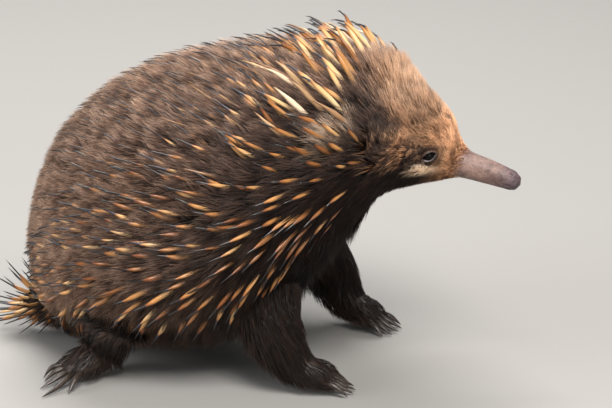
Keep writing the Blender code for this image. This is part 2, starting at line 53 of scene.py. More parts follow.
# The coat's outer form: x and z of each section's middle, lean in degrees, reach above and below,
# half width, and how square the lower half is. These are the solid model's own sections.
body = {
    "sections": {
        "tailRoot": (-0.1120, 0.0285, 35, 0.0000, 0.0000, 0.0000, 2.0),
        "seat": (-0.1070, 0.0340, 32, 0.0300, 0.0245, 0.0330, 2.1),
        "rump": (-0.0915, 0.0505, 27, 0.0610, 0.0410, 0.0640, 2.4),
        "hips": (-0.0665, 0.0735, 18, 0.0930, 0.0565, 0.0930, 2.8),
        "loin": (-0.0275, 0.0915, 8, 0.1125, 0.0700, 0.1135, 3.0),
        "back": (0.0180, 0.1055, -2, 0.1175, 0.0810, 0.1210, 3.0),
        "ribs": (0.0610, 0.1190, -12, 0.1135, 0.0880, 0.1160, 2.8),
        "shoulders": (0.0970, 0.1345, -20, 0.0985, 0.0830, 0.1010, 2.5),
        "nape": (0.1230, 0.1465, -27, 0.0680, 0.0590, 0.0715, 2.3),
        "crown": (0.1440, 0.1520, -30, 0.0470, 0.0325, 0.0460, 2.1),
        "eyes": (0.1645, 0.1535, -28, 0.0305, 0.0205, 0.0280, 2.0),
        "brow": (0.1765, 0.1510, -23, 0.0180, 0.0142, 0.0168, 2.0),
        "beakBase": (0.1865, 0.1485, -20, 0.0110, 0.0100, 0.0105, 2.0),
        "beakMiddle": (0.2040, 0.1440, -18, 0.0087, 0.0081, 0.0080, 2.0),
        "nostrils": (0.2165, 0.1403, -20, 0.0073, 0.0069, 0.0068, 2.0),
        "lips": (0.2224, 0.1382, -22, 0.0056, 0.0055, 0.0056, 2.0),
        "beakTip": (0.2260, 0.1368, -22, 0.0000, 0.0000, 0.0000, 2.0),
    },
    "eyeAt": Vector((0.1668, -0.0228, 0.1595)),
    # how deep the skin lies under the outer form, and the share of that on the belly
    "skinDepth": {"tailRoot": 0.012, "rump": 0.021, "hips": 0.025, "back": 0.026, "shoulders": 0.026,
                  "nape": 0.022, "crown": 0.013, "eyes": 0.0026, "brow": 0.0018, "beakBase": 0.0006,
                  "beakMiddle": 0.0},
    "bellyDepthShare": 0.5,
    "segments": 144,
    "rings": 230,
    # share of the rings up to each section, so that the face and beak are the finest
    "ringShares": {"tailRoot": 0.0, "nape": 0.34, "crown": 0.42, "brow": 0.66, "beakBase": 0.74,
                   "beakTip": 1.0},
}

# The floor, the body's middle and the model's origin differ: a node with a known place gives the shift.
eyeLow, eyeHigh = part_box("eye_right")
shift = np.array((eyeLow + eyeHigh) / 2 - body["eyeAt"])


def smoothRows(places, rows, at):
    # A smooth curve through rows of values, read at the places in `at`.
    places, rows, at = np.asarray(places, float), np.asarray(rows, float), np.asarray(at, float)
    low = np.maximum(np.arange(len(places)) - 1, 0)
    high = np.minimum(np.arange(len(places)) + 1, len(places) - 1)
    slopes = (rows[high] - rows[low]) / (places[high] - places[low])[:, None]
    i = np.clip(np.searchsorted(places, at, side="right") - 1, 0, len(places) - 2)
    step = (places[i + 1] - places[i])[:, None]
    t = np.clip((at - places[i])[:, None] / step, 0, 1)
    return ((2 * t**3 - 3 * t**2 + 1) * rows[i] + (t**3 - 2 * t**2 + t) * step * slopes[i]
            + (-2 * t**3 + 3 * t**2) * rows[i + 1] + (t**3 - t**2) * step * slopes[i + 1])


sectionRows = np.array(list(body["sections"].values()))
sectionPlaces = np.concatenate([[0], np.cumsum(np.hypot(*np.diff(sectionRows[:, :2], axis=0).T))])
placeOf = dict(zip(body["sections"], sectionPlaces))
bodyLength = sectionPlaces[-1]
finePlaces = np.linspace(0, bodyLength, 2400)
fineRows = smoothRows(sectionPlaces, sectionRows, finePlaces)


def alongBody(table, place):
    # The value at each place of a size that is given at some of the named sections.
    at = np.clip(place, placeOf[next(iter(table))], placeOf[list(table)[-1]])
    flat = smoothRows([placeOf[name] for name in table], [[v] for v in table.values()], at.ravel())
    return flat[:, 0].reshape(at.shape)


def bodyPoints(place, angle, grow):
    # Points round the body, `angle` from the top towards the animal's left, and `grow` outside
    # the coat's outer form.
    place, angle, grow = np.broadcast_arrays(place, angle, grow)
    x, z, lean, above, below, half, square = (np.interp(place, finePlaces, column) for column in fineRows.T)
    lean = np.radians(lean)
    cosine, sine = np.cos(angle), np.sin(angle)
    power = 2 / np.where(cosine < 0, square, 2)
    reach = np.maximum(np.where(cosine >= 0, above, below), 0)
    side = np.maximum(half, 0)
    grow = np.maximum(grow, -0.9 * np.minimum(reach, side))
    up = np.sign(cosine) * np.abs(cosine) ** power * (reach + grow)
    across = np.sign(sine) * np.abs(sine) ** power * (side + grow)
    return np.stack([x - np.sin(lean) * up, across, z + np.cos(lean) * up], -1) + shift


def skinDepth(place, angle):
    belly = np.maximum(0, -np.cos(angle)) ** 2
    return alongBody(body["skinDepth"], place) * (1 - (1 - body["bellyDepthShare"]) * belly)


flankAngles = np.radians(np.linspace(0, 180, 721))
flankWalk = bodyPoints(placeOf["back"], flankAngles, 0)
flankDistance = np.concatenate([[0], np.cumsum(np.linalg.norm(np.diff(flankWalk, axis=0), axis=1))])


def turnedFromTop(angle):
    return np.abs((angle + math.pi) % (2 * math.pi) - math.pi)


def downFlank(angle):
    # Distance round the widest section from the middle of the back
    return np.interp(turnedFromTop(angle), flankAngles, flankDistance)


def smoothStep(value, start, end):
    t = np.clip((value - start) / (end - start), 0, 1)
    return t * t * (3 - 2 * t)


def unit(vectors):
    return vectors / (np.linalg.norm(vectors, axis=-1, keepdims=True) + 1e-12)


swayDraw = np.random.default_rng(3)
swayWaves = unit(swayDraw.normal(0, 1, (9, 3)))
swayTurns = swayDraw.uniform(0, 2 * math.pi, 9)


def sway(points, size):
    # Smooth noise, about -1 to 1, that changes over `size` metres.
    return np.sin(points @ swayWaves.T * (2 * math.pi / size) + swayTurns).sum(-1) / 3


# Small helpers for materials and pieces
def colour(code):
    # sRGB hex to the linear values that a socket takes
    parts = [int(code[i:i + 2], 16) / 255 for i in (1, 3, 5)]
    return (*[p / 12.92 if p <= 0.04045 else ((p + 0.055) / 1.055) ** 2.4 for p in parts], 1)


def newMaterial(name):
    made = bpy.data.materials.new(name)
    made.use_nodes = True
    return made, made.node_tree, made.node_tree.nodes["Principled BSDF"]


def addNode(tree, kind, settings=None, inputs=None, stops=None):
    # One node with its settings. An input is a value, or a pair of a node and its output's name,
    # and a colour ramp's stops are position: hex colour.
    node = tree.nodes.new(kind)
    for name, value in (settings or {}).items():
        setattr(node, name, value)
    for name, value in (inputs or {}).items():
        if isinstance(value, tuple) and isinstance(value[0], bpy.types.Node):
            tree.links.new(value[0].outputs[value[1]], node.inputs[name])
        else:
            node.inputs[name].default_value = value
    if stops:
        marks = node.color_ramp.elements
        while len(marks) < len(stops):
            marks.new(0.5)
        for mark, (position, code) in zip(marks, stops.items()):
            mark.position = position
            mark.color = colour(code)
    return node


def layColours(tree, source, under, layers):
    # The first colours, and over them those of each attribute, by the share that it gives.
    # All of them follow `source` along their stops.
    shown = (addNode(tree, "ShaderNodeValToRGB", None, {"Fac": source}, under), "Color")
    for name, stops in layers.items():
        share = addNode(tree, "ShaderNodeAttribute", {"attribute_name": name})
        over = addNode(tree, "ShaderNodeValToRGB", None, {"Fac": source}, stops)
        mixed = addNode(tree, "ShaderNodeMix", {"data_type": "RGBA"},
                        {0: (share, "Fac"), 6: shown, 7: (over, "Color")})
        shown = (mixed, 2)
    return shown


def setPoints(piece, points):
    piece.data.vertices.foreach_set("co", np.ascontiguousarray(points, np.float32).ravel())
    piece.data.update()


def getPoints(piece):
    flat = np.empty(len(piece.data.vertices) * 3, np.float32)
    piece.data.vertices.foreach_get("co", flat)
    return flat.reshape(-1, 3).astype(float)


def selectOnly(piece):
    bpy.ops.object.select_all(action="DESELECT")
    piece.select_set(True)
    bpy.context.view_layer.objects.active = piece


def nameSmooth(name):
    # The primitive that was just added, named and shaded smooth
    piece = bpy.context.object
    piece.name = name
    bpy.ops.object.shade_smooth()
    return piece


def addBall(name, segments, rings):
    bpy.ops.object.select_all(action="DESELECT")
    bpy.ops.mesh.primitive_uv_sphere_add(segments=segments, ring_count=rings, radius=1)
    return nameSmooth(name)


def addRing(name, around, across, thick):
    bpy.ops.object.select_all(action="DESELECT")
    bpy.ops.mesh.primitive_torus_add(major_segments=around, minor_segments=across,
                                     major_radius=1, minor_radius=thick)
    return nameSmooth(name)


def ballPlaces(piece):
    # For each vertex of a unit ball: its share of the way between the poles, and its turn round them.
    points = getPoints(piece)
    share = np.arccos(np.clip(points[:, 2], -1, 1)) / math.pi
    return share, np.arctan2(points[:, 1], points[:, 0])


def setAttribute(piece, name, values):
    layer = piece.data.attributes.new(name, "FLOAT", "POINT")
    layer.data.foreach_set("value", np.ascontiguousarray(values, np.float32).ravel())


def joinTo(piece, others):
    selectOnly(piece)
    for other in others:
        other.select_set(True)
    bpy.ops.object.join()


def applyModifier(piece, name, kind, **settings):
    step = piece.modifiers.new(name, kind)
    for key, value in settings.items():
        setattr(step, key, value)
    selectOnly(piece)
    bpy.ops.object.modifier_apply(modifier=name)


def faceOut(piece):
    selectOnly(piece)
    bpy.ops.object.mode_set(mode="EDIT")
    bpy.ops.mesh.select_all(action="SELECT")
    bpy.ops.mesh.normals_make_consistent(inside=False)
    bpy.ops.object.mode_set(mode="OBJECT")


# Limbs, claws and the tail follow smooth paths
def tubeFrames(joints, count=60):
    # Points and radii at even steps of a smooth path through joints (x, y, z, width, depth).
    rows = np.array(joints, float)
    at = np.linspace(0, len(rows) - 1, count)
    return smoothRows(np.arange(len(rows)), rows, at)


limbUp = (0.3, 0.2, 1.0)  # no limb points this way, so it tells the upper side of each


def tubePoints(frames, share, turn, grow, up=limbUp):
    # Points round a path: `turn` from its upper side, `grow` outside it.
    share, turn, grow = np.broadcast_arrays(share, turn, grow)
    at = np.linspace(0, 1, len(frames))
    middle = np.stack([np.interp(share, at, frames[:, k]) for k in range(3)], -1)
    width = np.interp(share, at, frames[:, 3]) + grow
    depth = np.interp(share, at, frames[:, 4]) + grow
    slopes = np.gradient(frames[:, :3], at, axis=0)
    along = unit(np.stack([np.interp(share, at, slopes[:, k]) for k in range(3)], -1))
    side = unit(np.cross(along, np.array(up, float)))
    over = np.cross(side, along)
    return middle + side * (width * np.sin(turn))[..., None] + over * (depth * np.cos(turn))[..., None]


def addTube(name, frames, segments, rings, up=limbUp):
    # A ball drawn out along a path. It narrows to a round end over the first and last twelfth.
    piece = addBall(name, segments, rings)
    share, turn = ballPlaces(piece)
    rounded = np.sin(np.clip(share * math.pi, 0, math.pi)) ** 0.5
    ends = np.clip(np.minimum(share, 1 - share) * 12, 0, 1)
    points = tubePoints(frames, share, turn, 0, up)
    middle = (points + tubePoints(frames, share, turn + math.pi, 0, up)) / 2
    setPoints(piece, middle + (points - middle) * (ends * rounded)[:, None] ** 0.5)
    faceOut(piece)
    return piece


# Joints are x, y and z on the animal's left, and half the width and depth there.
foreleg = {
    "joints": [(0.060, 0.042, 0.085, 0.020, 0.020), (0.070, 0.070, 0.048, 0.018, 0.018),
               (0.088, 0.071, 0.020, 0.012, 0.012), (0.104, 0.067, 0.012, 0.0135, 0.0095),
               (0.1125, 0.0655, 0.0085, 0.012, 0.0062)],
    "toes": (0.110, 0.066, 0.009),
    "wrist": (0.088, 0.071, 0.020),
    "claws": [0.020 * share for share in (0.75, 0.95, 1.0, 0.95, 0.75)],
    "spread": math.radians(9),
}
hindleg = {
    "joints": [(-0.040, 0.040, 0.075, 0.020, 0.020), (-0.038, 0.072, 0.044, 0.017, 0.017),
               (-0.050, 0.074, 0.018, 0.012, 0.012), (-0.060, 0.088, 0.012, 0.0135, 0.0095),
               (-0.0675, 0.0985, 0.0085, 0.012, 0.0062)],
    "toes": (-0.066, 0.096, 0.009),
    "wrist": (-0.050, 0.074, 0.018),
    "claws": [0.018, 0.036, 0.026, 0.016, 0.012],
    "spread": math.radians(14),
}
tail = {
    "joints": [(-0.088, 0, 0.035, 0.012, 0.012), (-0.102, 0, 0.030, 0.013, 0.013),
               (-0.116, 0, 0.0255, 0.010, 0.010), (-0.125, 0, 0.022, 0.004, 0.004)],
}


def limbFrames(limb, side):
    return tubeFrames([(x + shift[0], y * side + shift[1], z + shift[2], w, d)
                       for x, y, z, w, d in limb["joints"]])


legs = {
    "foreLeft": (foreleg, 1), "foreRight": (foreleg, -1),
    "hindLeft": (hindleg, 1), "hindRight": (hindleg, -1),
}
tailFrames = limbFrames(tail, 1)

skinPlaces = []  # x, y, z, place and turn of the skin's points, before the limbs join it


def makeSkin():
    # A ball shaped ring by ring into body, head and beak, with the limbs joined on.
    skin = addBall("skin", body["segments"], body["rings"])
    share, turn = ballPlaces(skin)
    names = list(body["ringShares"])
    place = np.interp(1 - share, [body["ringShares"][n] for n in names], [placeOf[n] for n in names])
    setPoints(skin, bodyPoints(place, turn, -skinDepth(place, turn)))
    sculptFace(skin, place, turn)
    faceOut(skin)
    for point, where in zip(getPoints(skin), zip(place, turn)):
        skinPlaces.append((*point, *where))
    limbs = []
    for name, (leg, side) in legs.items():
        limbs.append(addTube(name, limbFrames(leg, side), 40, 60))
    limbs.append(addTube("stub", tailFrames, 32, 24))
    for limb in limbs:
        applyModifier(skin, "union", "BOOLEAN", operation="UNION", object=limb, solver="EXACT")
        bpy.data.objects.remove(limb)
    selectOnly(skin)
    bpy.ops.object.shade_smooth()
    return skin


face = {
    "socket": {"radius": 6.0 * mm, "width": 1.8 * mm, "height": 1.1 * mm, "stretch": 1.25},
    "nostril": {"ahead": 0.0025, "turn": math.radians(34), "stretch": 0.75, "depth": 1.3 * mm,
                "radius": 0.8 * mm, "rimRadius": 1.7 * mm, "rimWidth": 0.7 * mm, "rimHeight": 0.30 * mm},
    "mouth": {"turn": math.radians(112), "width": 0.07, "depth": 0.16, "length": 0.003},
}


def sculptFace(skin, place, turn):
    # Moves the skin's own points for the eye sockets, the nostrils, the snout's round end and the mouth line.
    socket, nostril, mouth = face["socket"], face["nostril"], face["mouth"]
    points = getPoints(skin)
    sideways = np.sign(points[:, 1] - shift[1])
    for side, word in ((1, "left"), (-1, "right")):
        away = points - np.array(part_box("eye_" + word)).mean(0)
        reach = np.linalg.norm(away * [1 / socket["stretch"], 1, 1], axis=1)
        rim = np.exp(-((reach - socket["radius"]) / socket["width"]) ** 2) * (sideways == side)
        points[:, 1] += side * rim * socket["height"]
    for side in (1, -1):
        at = bodyPoints(placeOf["nostrils"] + nostril["ahead"], side * nostril["turn"], 0)
        near = np.linalg.norm((points - at) * [nostril["stretch"], 1, 1], axis=1)
        pit = np.exp(-(near / nostril["radius"]) ** 2) * nostril["depth"]
        ring = np.exp(-((near - nostril["rimRadius"]) / nostril["rimWidth"]) ** 2) * nostril["rimHeight"]
        outward = unit(np.array([0, at[1] - shift[1], 0.006]))
        points += outward * (ring - pit)[:, None]
    # the snout ends in a rounded knob, not a point
    end = np.clip((place - placeOf["lips"]) / (bodyLength - placeOf["lips"]), 0, 1)
    shown = np.interp(place, finePlaces, fineRows[:, 5]) / sectionRows[-2, 5]
    rounder = np.where(end > 0, np.sqrt(1 - end**2) / np.maximum(shown, 0.08), 1)
    middle = bodyPoints(place, turn, -0.9)
    points = middle + (points - middle) * np.clip(rounder, 0.2, 1.8)[:, None]
    inMouth = smoothStep(place, placeOf["nostrils"] - mouth["length"], placeOf["nostrils"])
    slit = np.exp(-((np.abs(turn) - mouth["turn"]) / mouth["width"]) ** 2) * inMouth
    points += (middle - points) * (slit * mouth["depth"])[:, None]
    setPoints(skin, points)


skin = makeSkin()
print("skin made:", len(skin.data.polygons), "faces")


# Fur: tufts of tapered, three-sided strands that rise from the skin and lie back along the body
def strandTemplate(shares, sides):
    # A point in the skin, a ring at each share between, and a point at the tip. It gives the faces,
    # and for each face corner its column and its share of the way up.
    faces, columns, heights = [], [], []
    rings = len(shares) - 2
    tip = 1 + rings * sides
    for i in range(sides):
        n = (i + 1) % sides
        faces.append((0, 1 + n, 1 + i))
        columns.append((i + 0.5, i + 1, i))
        heights.append((0.0, shares[1], shares[1]))
        for k in range(rings - 1):
            a, b = 1 + k * sides + i, 1 + k * sides + n
            faces += [(a, b, b + sides), (a, b + sides, a + sides)]
            low, high = shares[k + 1], shares[k + 2]
            columns += [(i, i + 1, i + 1), (i, i + 1, i)]
            heights += [(low, low, high), (low, high, high)]
        faces.append((tip - sides + i, tip - sides + n, tip))
        columns.append((i, i + 1, i + 0.5))
        heights.append((shares[rings], shares[rings], 1.0))
    return np.array(faces), np.array(columns, float), np.array(heights, float)


def strandMesh(name, paths, widths, away, shape, uv, column, columns, attributes):
    # One joined mesh from the paths of many strands, with the bake map and the attributes of each.
    count = len(paths)
    shares, sides = shape["shares"], shape["sides"]
    along = unit(np.gradient(paths, axis=1))
    side = unit(np.cross(along, away[:, None, :]))
    over = np.cross(side, along)
    turns = np.arange(sides) * 2 * math.pi / sides + math.pi / 2
    radius = widths[:, None] / 2 * np.array(shape["profile"])[None, :]
    ring = (paths[:, 1:-1, None, :]
            + side[:, 1:-1, None, :] * (radius[:, :, None] * np.cos(turns))[..., None]
            + over[:, 1:-1, None, :] * (radius[:, :, None] * np.sin(turns) * shape["flat"])[..., None])
    points = np.concatenate([paths[:, :1], ring.reshape(count, -1, 3), paths[:, -1:]], axis=1)
    perStrand = points.shape[1]
    template, columnOf, heightOf = strandTemplate(shares, sides)
    faces = (template[None] + (np.arange(count) * perStrand)[:, None, None]).reshape(-1, 3)
    mesh = bpy.data.meshes.new(name)
    mesh.vertices.add(count * perStrand)
    mesh.vertices.foreach_set("co", points.astype(np.float32).ravel())
    mesh.loops.add(faces.size)
    mesh.loops.foreach_set("vertex_index", faces.astype(np.int32).ravel())
    mesh.polygons.add(len(faces))
    mesh.polygons.foreach_set("loop_start", np.arange(0, faces.size, 3, dtype=np.int32))
    mesh.polygons.foreach_set("use_smooth", np.ones(len(faces), bool))
    mesh.update(calc_edges=True)
    patch = 0.003  # the side of each root's patch of the bake map
    corners = np.empty((count, template.size, 2), np.float32)
    corners[..., 0] = uv[:, 0, None] + patch * ((column[:, None] * sides + columnOf.ravel()[None]) / columns)
    corners[..., 1] = uv[:, 1, None] + patch * heightOf.ravel()[None]
    layer = mesh.uv_layers.new(name="OFBake")
    layer.data.foreach_set("uv", corners.ravel())
    heights = np.concatenate([[0.0], np.repeat(np.array(shares[1:-1]), sides), [1.0]])
    piece = bpy.data.objects.new(name, mesh)
    bpy.context.scene.collection.objects.link(piece)
    setAttribute(piece, "along", np.broadcast_to(heights, (count, perStrand)))
    for key, values in attributes.items():
        setAttribute(piece, key, np.repeat(values, perStrand))
    return piece


# How far each coordinate moves, on the body and on a limb, to measure the surface there
bodySteps = (0.001, 0.01)
tubeSteps = (0.01, 0.05)


def stepSizes(surface, a, b, grow, steps):
    # Metres moved for each unit of the two coordinates, and those two directions
    da, db = steps
    alongA = (surface(a + da, b, grow) - surface(a - da, b, grow)) / (2 * da)
    alongB = (surface(a, b + db, grow) - surface(a, b - db, grow)) / (2 * db)
    return np.linalg.norm(alongA, axis=-1), np.linalg.norm(alongB, axis=-1), alongA, alongB


def evenly(a, b):
    return np.ones_like(a)


def scatter(surface, rangeA, rangeB, weight, count, draw, steps, even=True):
    # Roots, as many for each bit of surface as its weight asks. Even ones leave no bald spots.
    a = np.linspace(*rangeA, 361)
    b = np.linspace(*rangeB, 361)
    gridA, gridB = np.meshgrid((a[1:] + a[:-1]) / 2, (b[1:] + b[:-1]) / 2, indexing="ij")
    sizeA, sizeB = stepSizes(surface, gridA, gridB, 0, steps)[:2]
    amount = sizeA * sizeB * weight(gridA, gridB)
    share, rows = np.cumsum(amount.ravel()), np.cumsum(amount.sum(1))
    if even:
        # steps by these two numbers fill a square evenly
        first = (draw.random() + 0.7548777 * np.arange(count)) % 1 * rows[-1]
        second = (draw.random() + 0.5698403 * np.arange(count)) % 1
    else:
        first, second = draw.random(count) * rows[-1], draw.random(count)
    row = np.minimum(np.searchsorted(rows, first), len(rows) - 1)
    start = np.where(row > 0, rows[row - 1], 0)
    cell = np.searchsorted(share, start + second * (rows[row] - start))
    cell = np.minimum(cell, gridA.size - 1)
    jitterA = (draw.random(count) - 0.5) * (a[1] - a[0])
    jitterB = (draw.random(count) - 0.5) * (b[1] - b[0])
    return gridA.ravel()[cell] + jitterA, gridB.ravel()[cell] + jitterB


# The coat's lie: how many degrees it turns up from straight back, by degrees round the body from its top
lie = {
    "round": (0, 25, 50, 75, 90, 105, 120, 140, 160, 180),
    "flank": (0, 9, 16, 18, 12, -8, -40, -68, -80, -60),
    "shoulder": (0, 6, 12, 0, -24, -50, -68, -78, -80, -60),
    "hangFrom": 102,
    "hangTo": 132,
}


def roundDegrees(angle):
    return np.degrees(turnedFromTop(angle))


def lieAngle(place, angle):
    turned = roundDegrees(angle)
    flank = np.interp(turned, lie["round"], lie["flank"])
    shoulder = np.interp(turned, lie["round"], lie["shoulder"])
    front = smoothStep(place, placeOf["back"], placeOf["shoulders"])
    head = smoothStep(place, placeOf["nape"], placeOf["crown"])
    return np.radians((flank + (shoulder - flank) * front) * (1 - head))


fur = {
    # a guard hair bends once between the skin and its tip
    "shape": {"shares": (0.0, 0.48, 1.0), "profile": (1.0,), "sides": 3, "flat": 0.6},
    "strandsInTuft": 5,
    "length": {"tailRoot": 0.026, "rump": 0.028, "back": 0.029, "shoulders": 0.030, "nape": 0.025,
               "crown": 0.0104, "eyes": 0.0056, "brow": 0.0042, "beakBase": 0.0016},
    # how far the highest tips stand outside the outer form, and how much deeper the lowest end
    "lift": {"tailRoot": 0.0015, "back": 0.0036, "nape": 0.0022, "crown": 0.0014, "eyes": 0.0005,
             "beakBase": 0.0001},
    "layers": {"tailRoot": 0.006, "back": 0.011, "nape": 0.008, "crown": 0.0038, "eyes": 0.0012,
               "beakBase": 0.0002},
    "width": {"tailRoot": 0.00060, "back": 0.00064, "nape": 0.00054, "crown": 0.00042, "eyes": 0.00033,
              "beakBase": 0.00022},
    "spread": 0.0011,  # how far a tuft's roots lie from its middle
    "rise": 1.32, "faceRise": 1.65,  # how soon a hair bends over: a larger value lies flatter
    "drawTogether": 0.75,
    "tuftsInClump": 7, "clumpPull": 0.42,
    "waves": (0.018, 0.007),  # length of the coat's waves, and of the ripples on them
    # what makes a hair short or turns it aside (in degrees): its wave, ripple, clump, tuft and itself
    "shortness": (-0.10, -0.14, 0.42, 0.22, 0.30),
    "turns": (5, 6, 9, 10, 7),
    # of the tones, short hairs are darker as painted shade since they lie deeper, the low rear is lighter as
    # painted light, and the pale cheek hair is brighter, partly as painted light
    "tones": {"clump": 0.26, "tuft": 0.56, "hair": 0.26, "ripple": 0.10, "short": -0.28, "lowRear": 0.26,
              "cream": 0.35},
    "hangStretch": 0.35,
    "hang": {"back": 0.75, "down": 0.55, "out": (0.80, 0.05)},  # out from the skin at its root and its tip
    "floorClearance": 0.004,
}


def coatPaths(place, angle, length, lift, veer, shares, rise, hanging=1.0):
    # Paths from the skin that lie along the body, and hang free where the flank turns under.
    depth = skinDepth(place, angle)
    atPlace, atAngle = place.copy(), angle.copy()
    side = np.where(np.sin(angle) >= 0, 1.0, -1.0)
    laid = []
    before = 0.0
    for share in shares:
        for _ in range(2):
            sizeA, sizeB = stepSizes(bodyPoints, atPlace, atAngle, 0, bodySteps)[:2]
            turn = lieAngle(atPlace, atAngle) + veer
            step = (share - before) * length / 2
            atPlace = np.maximum(atPlace - np.cos(turn) * step / np.maximum(sizeA, 0.5), 0.0015)
            atAngle = atAngle - side * np.sin(turn) * step / np.maximum(sizeB, 0.02)
        before = share
        laid.append(bodyPoints(atPlace, atAngle, -depth + (lift + depth) * (1 - (1 - share) ** rise)))
    laid = np.stack(laid, 1)
    alongA, alongB = stepSizes(bodyPoints, place, angle, -depth, bodySteps)[2:]
    back, around = unit(-alongA), unit(alongB)
    normal = unit(np.cross(around, back))
    turn = lieAngle(place, angle) + veer
    aimed = back * np.cos(turn)[:, None] - around * (side * np.sin(turn))[:, None]
    hang = fur["hang"]
    point = laid[:, 0]
    hung = [point]
    for before, share in zip(shares, shares[1:]):
        out = hang["out"][0] + (hang["out"][1] - hang["out"][0]) * share
        aim = unit(aimed * hang["back"] - np.array([0, 0, hang["down"]]) + normal * out)
        point = point + aim * (length * (share - before))[:, None]
        hung.append(point)
    free = hanging * smoothStep(roundDegrees(angle), lie["hangFrom"], lie["hangTo"])
    return keepOverFloor(laid + (np.stack(hung, 1) - laid) * free[:, None, None]), normal


def keepOverFloor(paths):
    # A strand that would reach the floor is drawn in towards its root.
    low = paths[:, :, 2].min(1)
    clear = fur["floorClearance"]
    keep = np.where(low < clear, (paths[:, 0, 2] - clear) / np.maximum(paths[:, 0, 2] - low, 1e-6), 1.0)
    return paths[:, :1] + (paths - paths[:, :1]) * np.clip(keep, 0.05, 1)[:, None, None]


# Markings, shared by skin and coat, with painted shade and painted light among them: 1 is full, by place along
# the body and turn from its top
eyeCentres = [np.array(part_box("eye_" + word)).mean(0) for word in ("left", "right")]


def spot(points, strength, behind, above, length, height):
    # A soft spot near each eye, its middle so far behind and above the eye
    shown = 0
    for centre in eyeCentres:
        away = points - centre
        fade = ((away[..., 0] + behind) / length) ** 2 + ((away[..., 2] - above) / height) ** 2
        shown = shown + strength * np.exp(-fade) * (np.abs(away[..., 1]) < 0.016)
    return shown


# Where the short sandy hair of the head begins, ahead of the nape, by degrees round the body: far back on
# the crown, and just behind the cheek lower down. The foremost spines keep behind a line of their own.
headEdge = {
    "round": (0, 15, 28, 37, 46, 56, 75, 90, 120, 180),
    "furFrom": (-0.044, -0.036, -0.024, -0.012, 0.002, 0.017, 0.031, 0.038, 0.040, 0.030),
    "spinesTo": (-0.022, -0.018, -0.012, -0.008, -0.005, -0.002, 0.006, 0.007, 0.004, 0.000),
}


def faceBorder(turned):
    return placeOf["nape"] + np.interp(turned, headEdge["round"], headEdge["furFrom"])


def neckShare(place, angle):
    # The dark, ruffled band between cheek and shoulder
    turned = roundDegrees(angle)
    border = faceBorder(turned)
    along = smoothStep(place, border - 0.040, border - 0.020) * (1 - smoothStep(place, border, border + 0.010))
    return along * smoothStep(turned, 50, 66) * (1 - 0.5 * smoothStep(turned, 115, 140))


# Spots by the eye: strength, how far their middle lies behind and above the eye, and length and height. The
# dark ones round the eye are partly its own dark skin and hair and partly painted shadow under the brow.
# Patches on the body: how far their middle lies ahead of a section, at how many degrees from the top,
# and their length and reach in degrees.
marks = {
    "smoky": ((1.0, 0.0024, 0.0060, 0.0076, 0.0022), (0.75, -0.0018, 0.0005, 0.0066, 0.0046),
              (0.45, 0.0070, -0.0005, 0.0050, 0.0034)),
    "cream": (1.9, 0.0056, -0.0102, 0.0080, 0.0027),
    "paleTuft": ("shoulders", -0.005, 55, 0.0105, 6),
    "rust": ("crown", -0.008, 57, 0.0075, 12),
    "darkNeck": 0.65, "darkNape": 0.40,
}


def bodyPatch(place, turned, section, ahead, degrees, length, reach):
    return np.exp(-((place - placeOf[section] - ahead) / length) ** 2 - ((turned - degrees) / reach) ** 2)


def coatMarks(place, angle):
    turned = roundDegrees(angle)
    down = downFlank(angle)
    points = bodyPoints(place, angle, 0)
    front = smoothStep(place, placeOf["loin"], placeOf["shoulders"])
    rear = 1 - smoothStep(place, placeOf["rump"], placeOf["loin"])
    # the back is light, and the flank darkens downwards, most at the shoulder and least at the rear. The
    # darkening is partly the coat's own darker lower flank and partly painted shade of the body's underside
    # and of the shoulder under the head. It is kept small at the rear as painted light, since the lamps light
    # the rear less
    dark = 0.34 - 0.30 * rear + 0.60 * front
    light = 1 - dark * smoothStep(down, 0.052 - 0.010 * front, 0.155 - 0.035 * front)
    # painted shade: darker again low on the flank, where it turns under the body
    light = light - 0.08 * smoothStep(down, 0.19, 0.26)
    # painted shade: the fur between the nape's long spines is darkened, as if in their shade
    nape = smoothStep(place, placeOf["ribs"], placeOf["shoulders"]) * smoothStep(turned, 8, 24)
    light = light * (1 - marks["darkNape"] * nape) * (1 - marks["darkNeck"] * neckShare(place, angle))
    # a pale tuft above each shoulder
    paleTuft = bodyPatch(place, turned, *marks["paleTuft"])
    light = light + (1 - light) * paleTuft
    border = faceBorder(turned)
    sandy = smoothStep(place, border, border + 0.016) * (1 - 0.70 * smoothStep(turned, 118, 150))
    # dark round the eyes: their own dark skin and hair, and painted shadow under the brow
    smoky = np.clip(sum(spot(points, *where) for where in marks["smoky"]), 0, 1)
    crown = np.exp(-((place - placeOf["nape"]) / 0.014) ** 2) * (1 - smoothStep(turned, 16, 42))
    # the pale cream hair below each eye is made brighter than its own colour, as painted light where the cheek
    # turns down from the lamps; the pale tufts and the crown add to it
    cream = spot(points, *marks["cream"]) + 0.15 * crown + 0.6 * paleTuft
    # orange on the forehead and by the root of the beak, and a rusty patch behind the eye
    low = smoothStep(turned, 62, 92)
    orange = 0.85 * smoothStep(place, placeOf["crown"] + 0.002, placeOf["eyes"]) * (1 - low)
    orange = orange + 0.6 * smoothStep(place, placeOf["eyes"] + 0.002, placeOf["brow"]) * low
    orange = orange + 0.95 * bodyPatch(place, turned, *marks["rust"])
    return {
        "light": np.clip(light, 0, 1),
        "sandy": np.clip(sandy * (1 - smoky), 0, 1),
        "orange": np.clip(orange * (1 - smoky), 0, 1),
        "cream": np.clip(cream * (1 - smoky), 0, 1),
        "smoky": smoky,
    }


def bodyUv(place, angle):
    # The skin's own unwrap: round the body and along it.
    turned = (angle / (2 * math.pi)) % 1.0
    return np.stack([0.01 + 0.975 * turned, 0.21 + 0.775 * place / bodyLength], 1)


eyeClear = {
    # the bare skin round each eye reaches so far from a middle a little forward of the eye's
    "ahead": 0.0054, "behind": 0.0052, "up": 0.0038, "down": 0.0040, "out": 0.011, "forward": 0.0018,
    # hair ahead of the eye ends so far from that middle, and is never shorter than the second
    "hairStops": 0.0048, "leastHair": 0.0010,
}


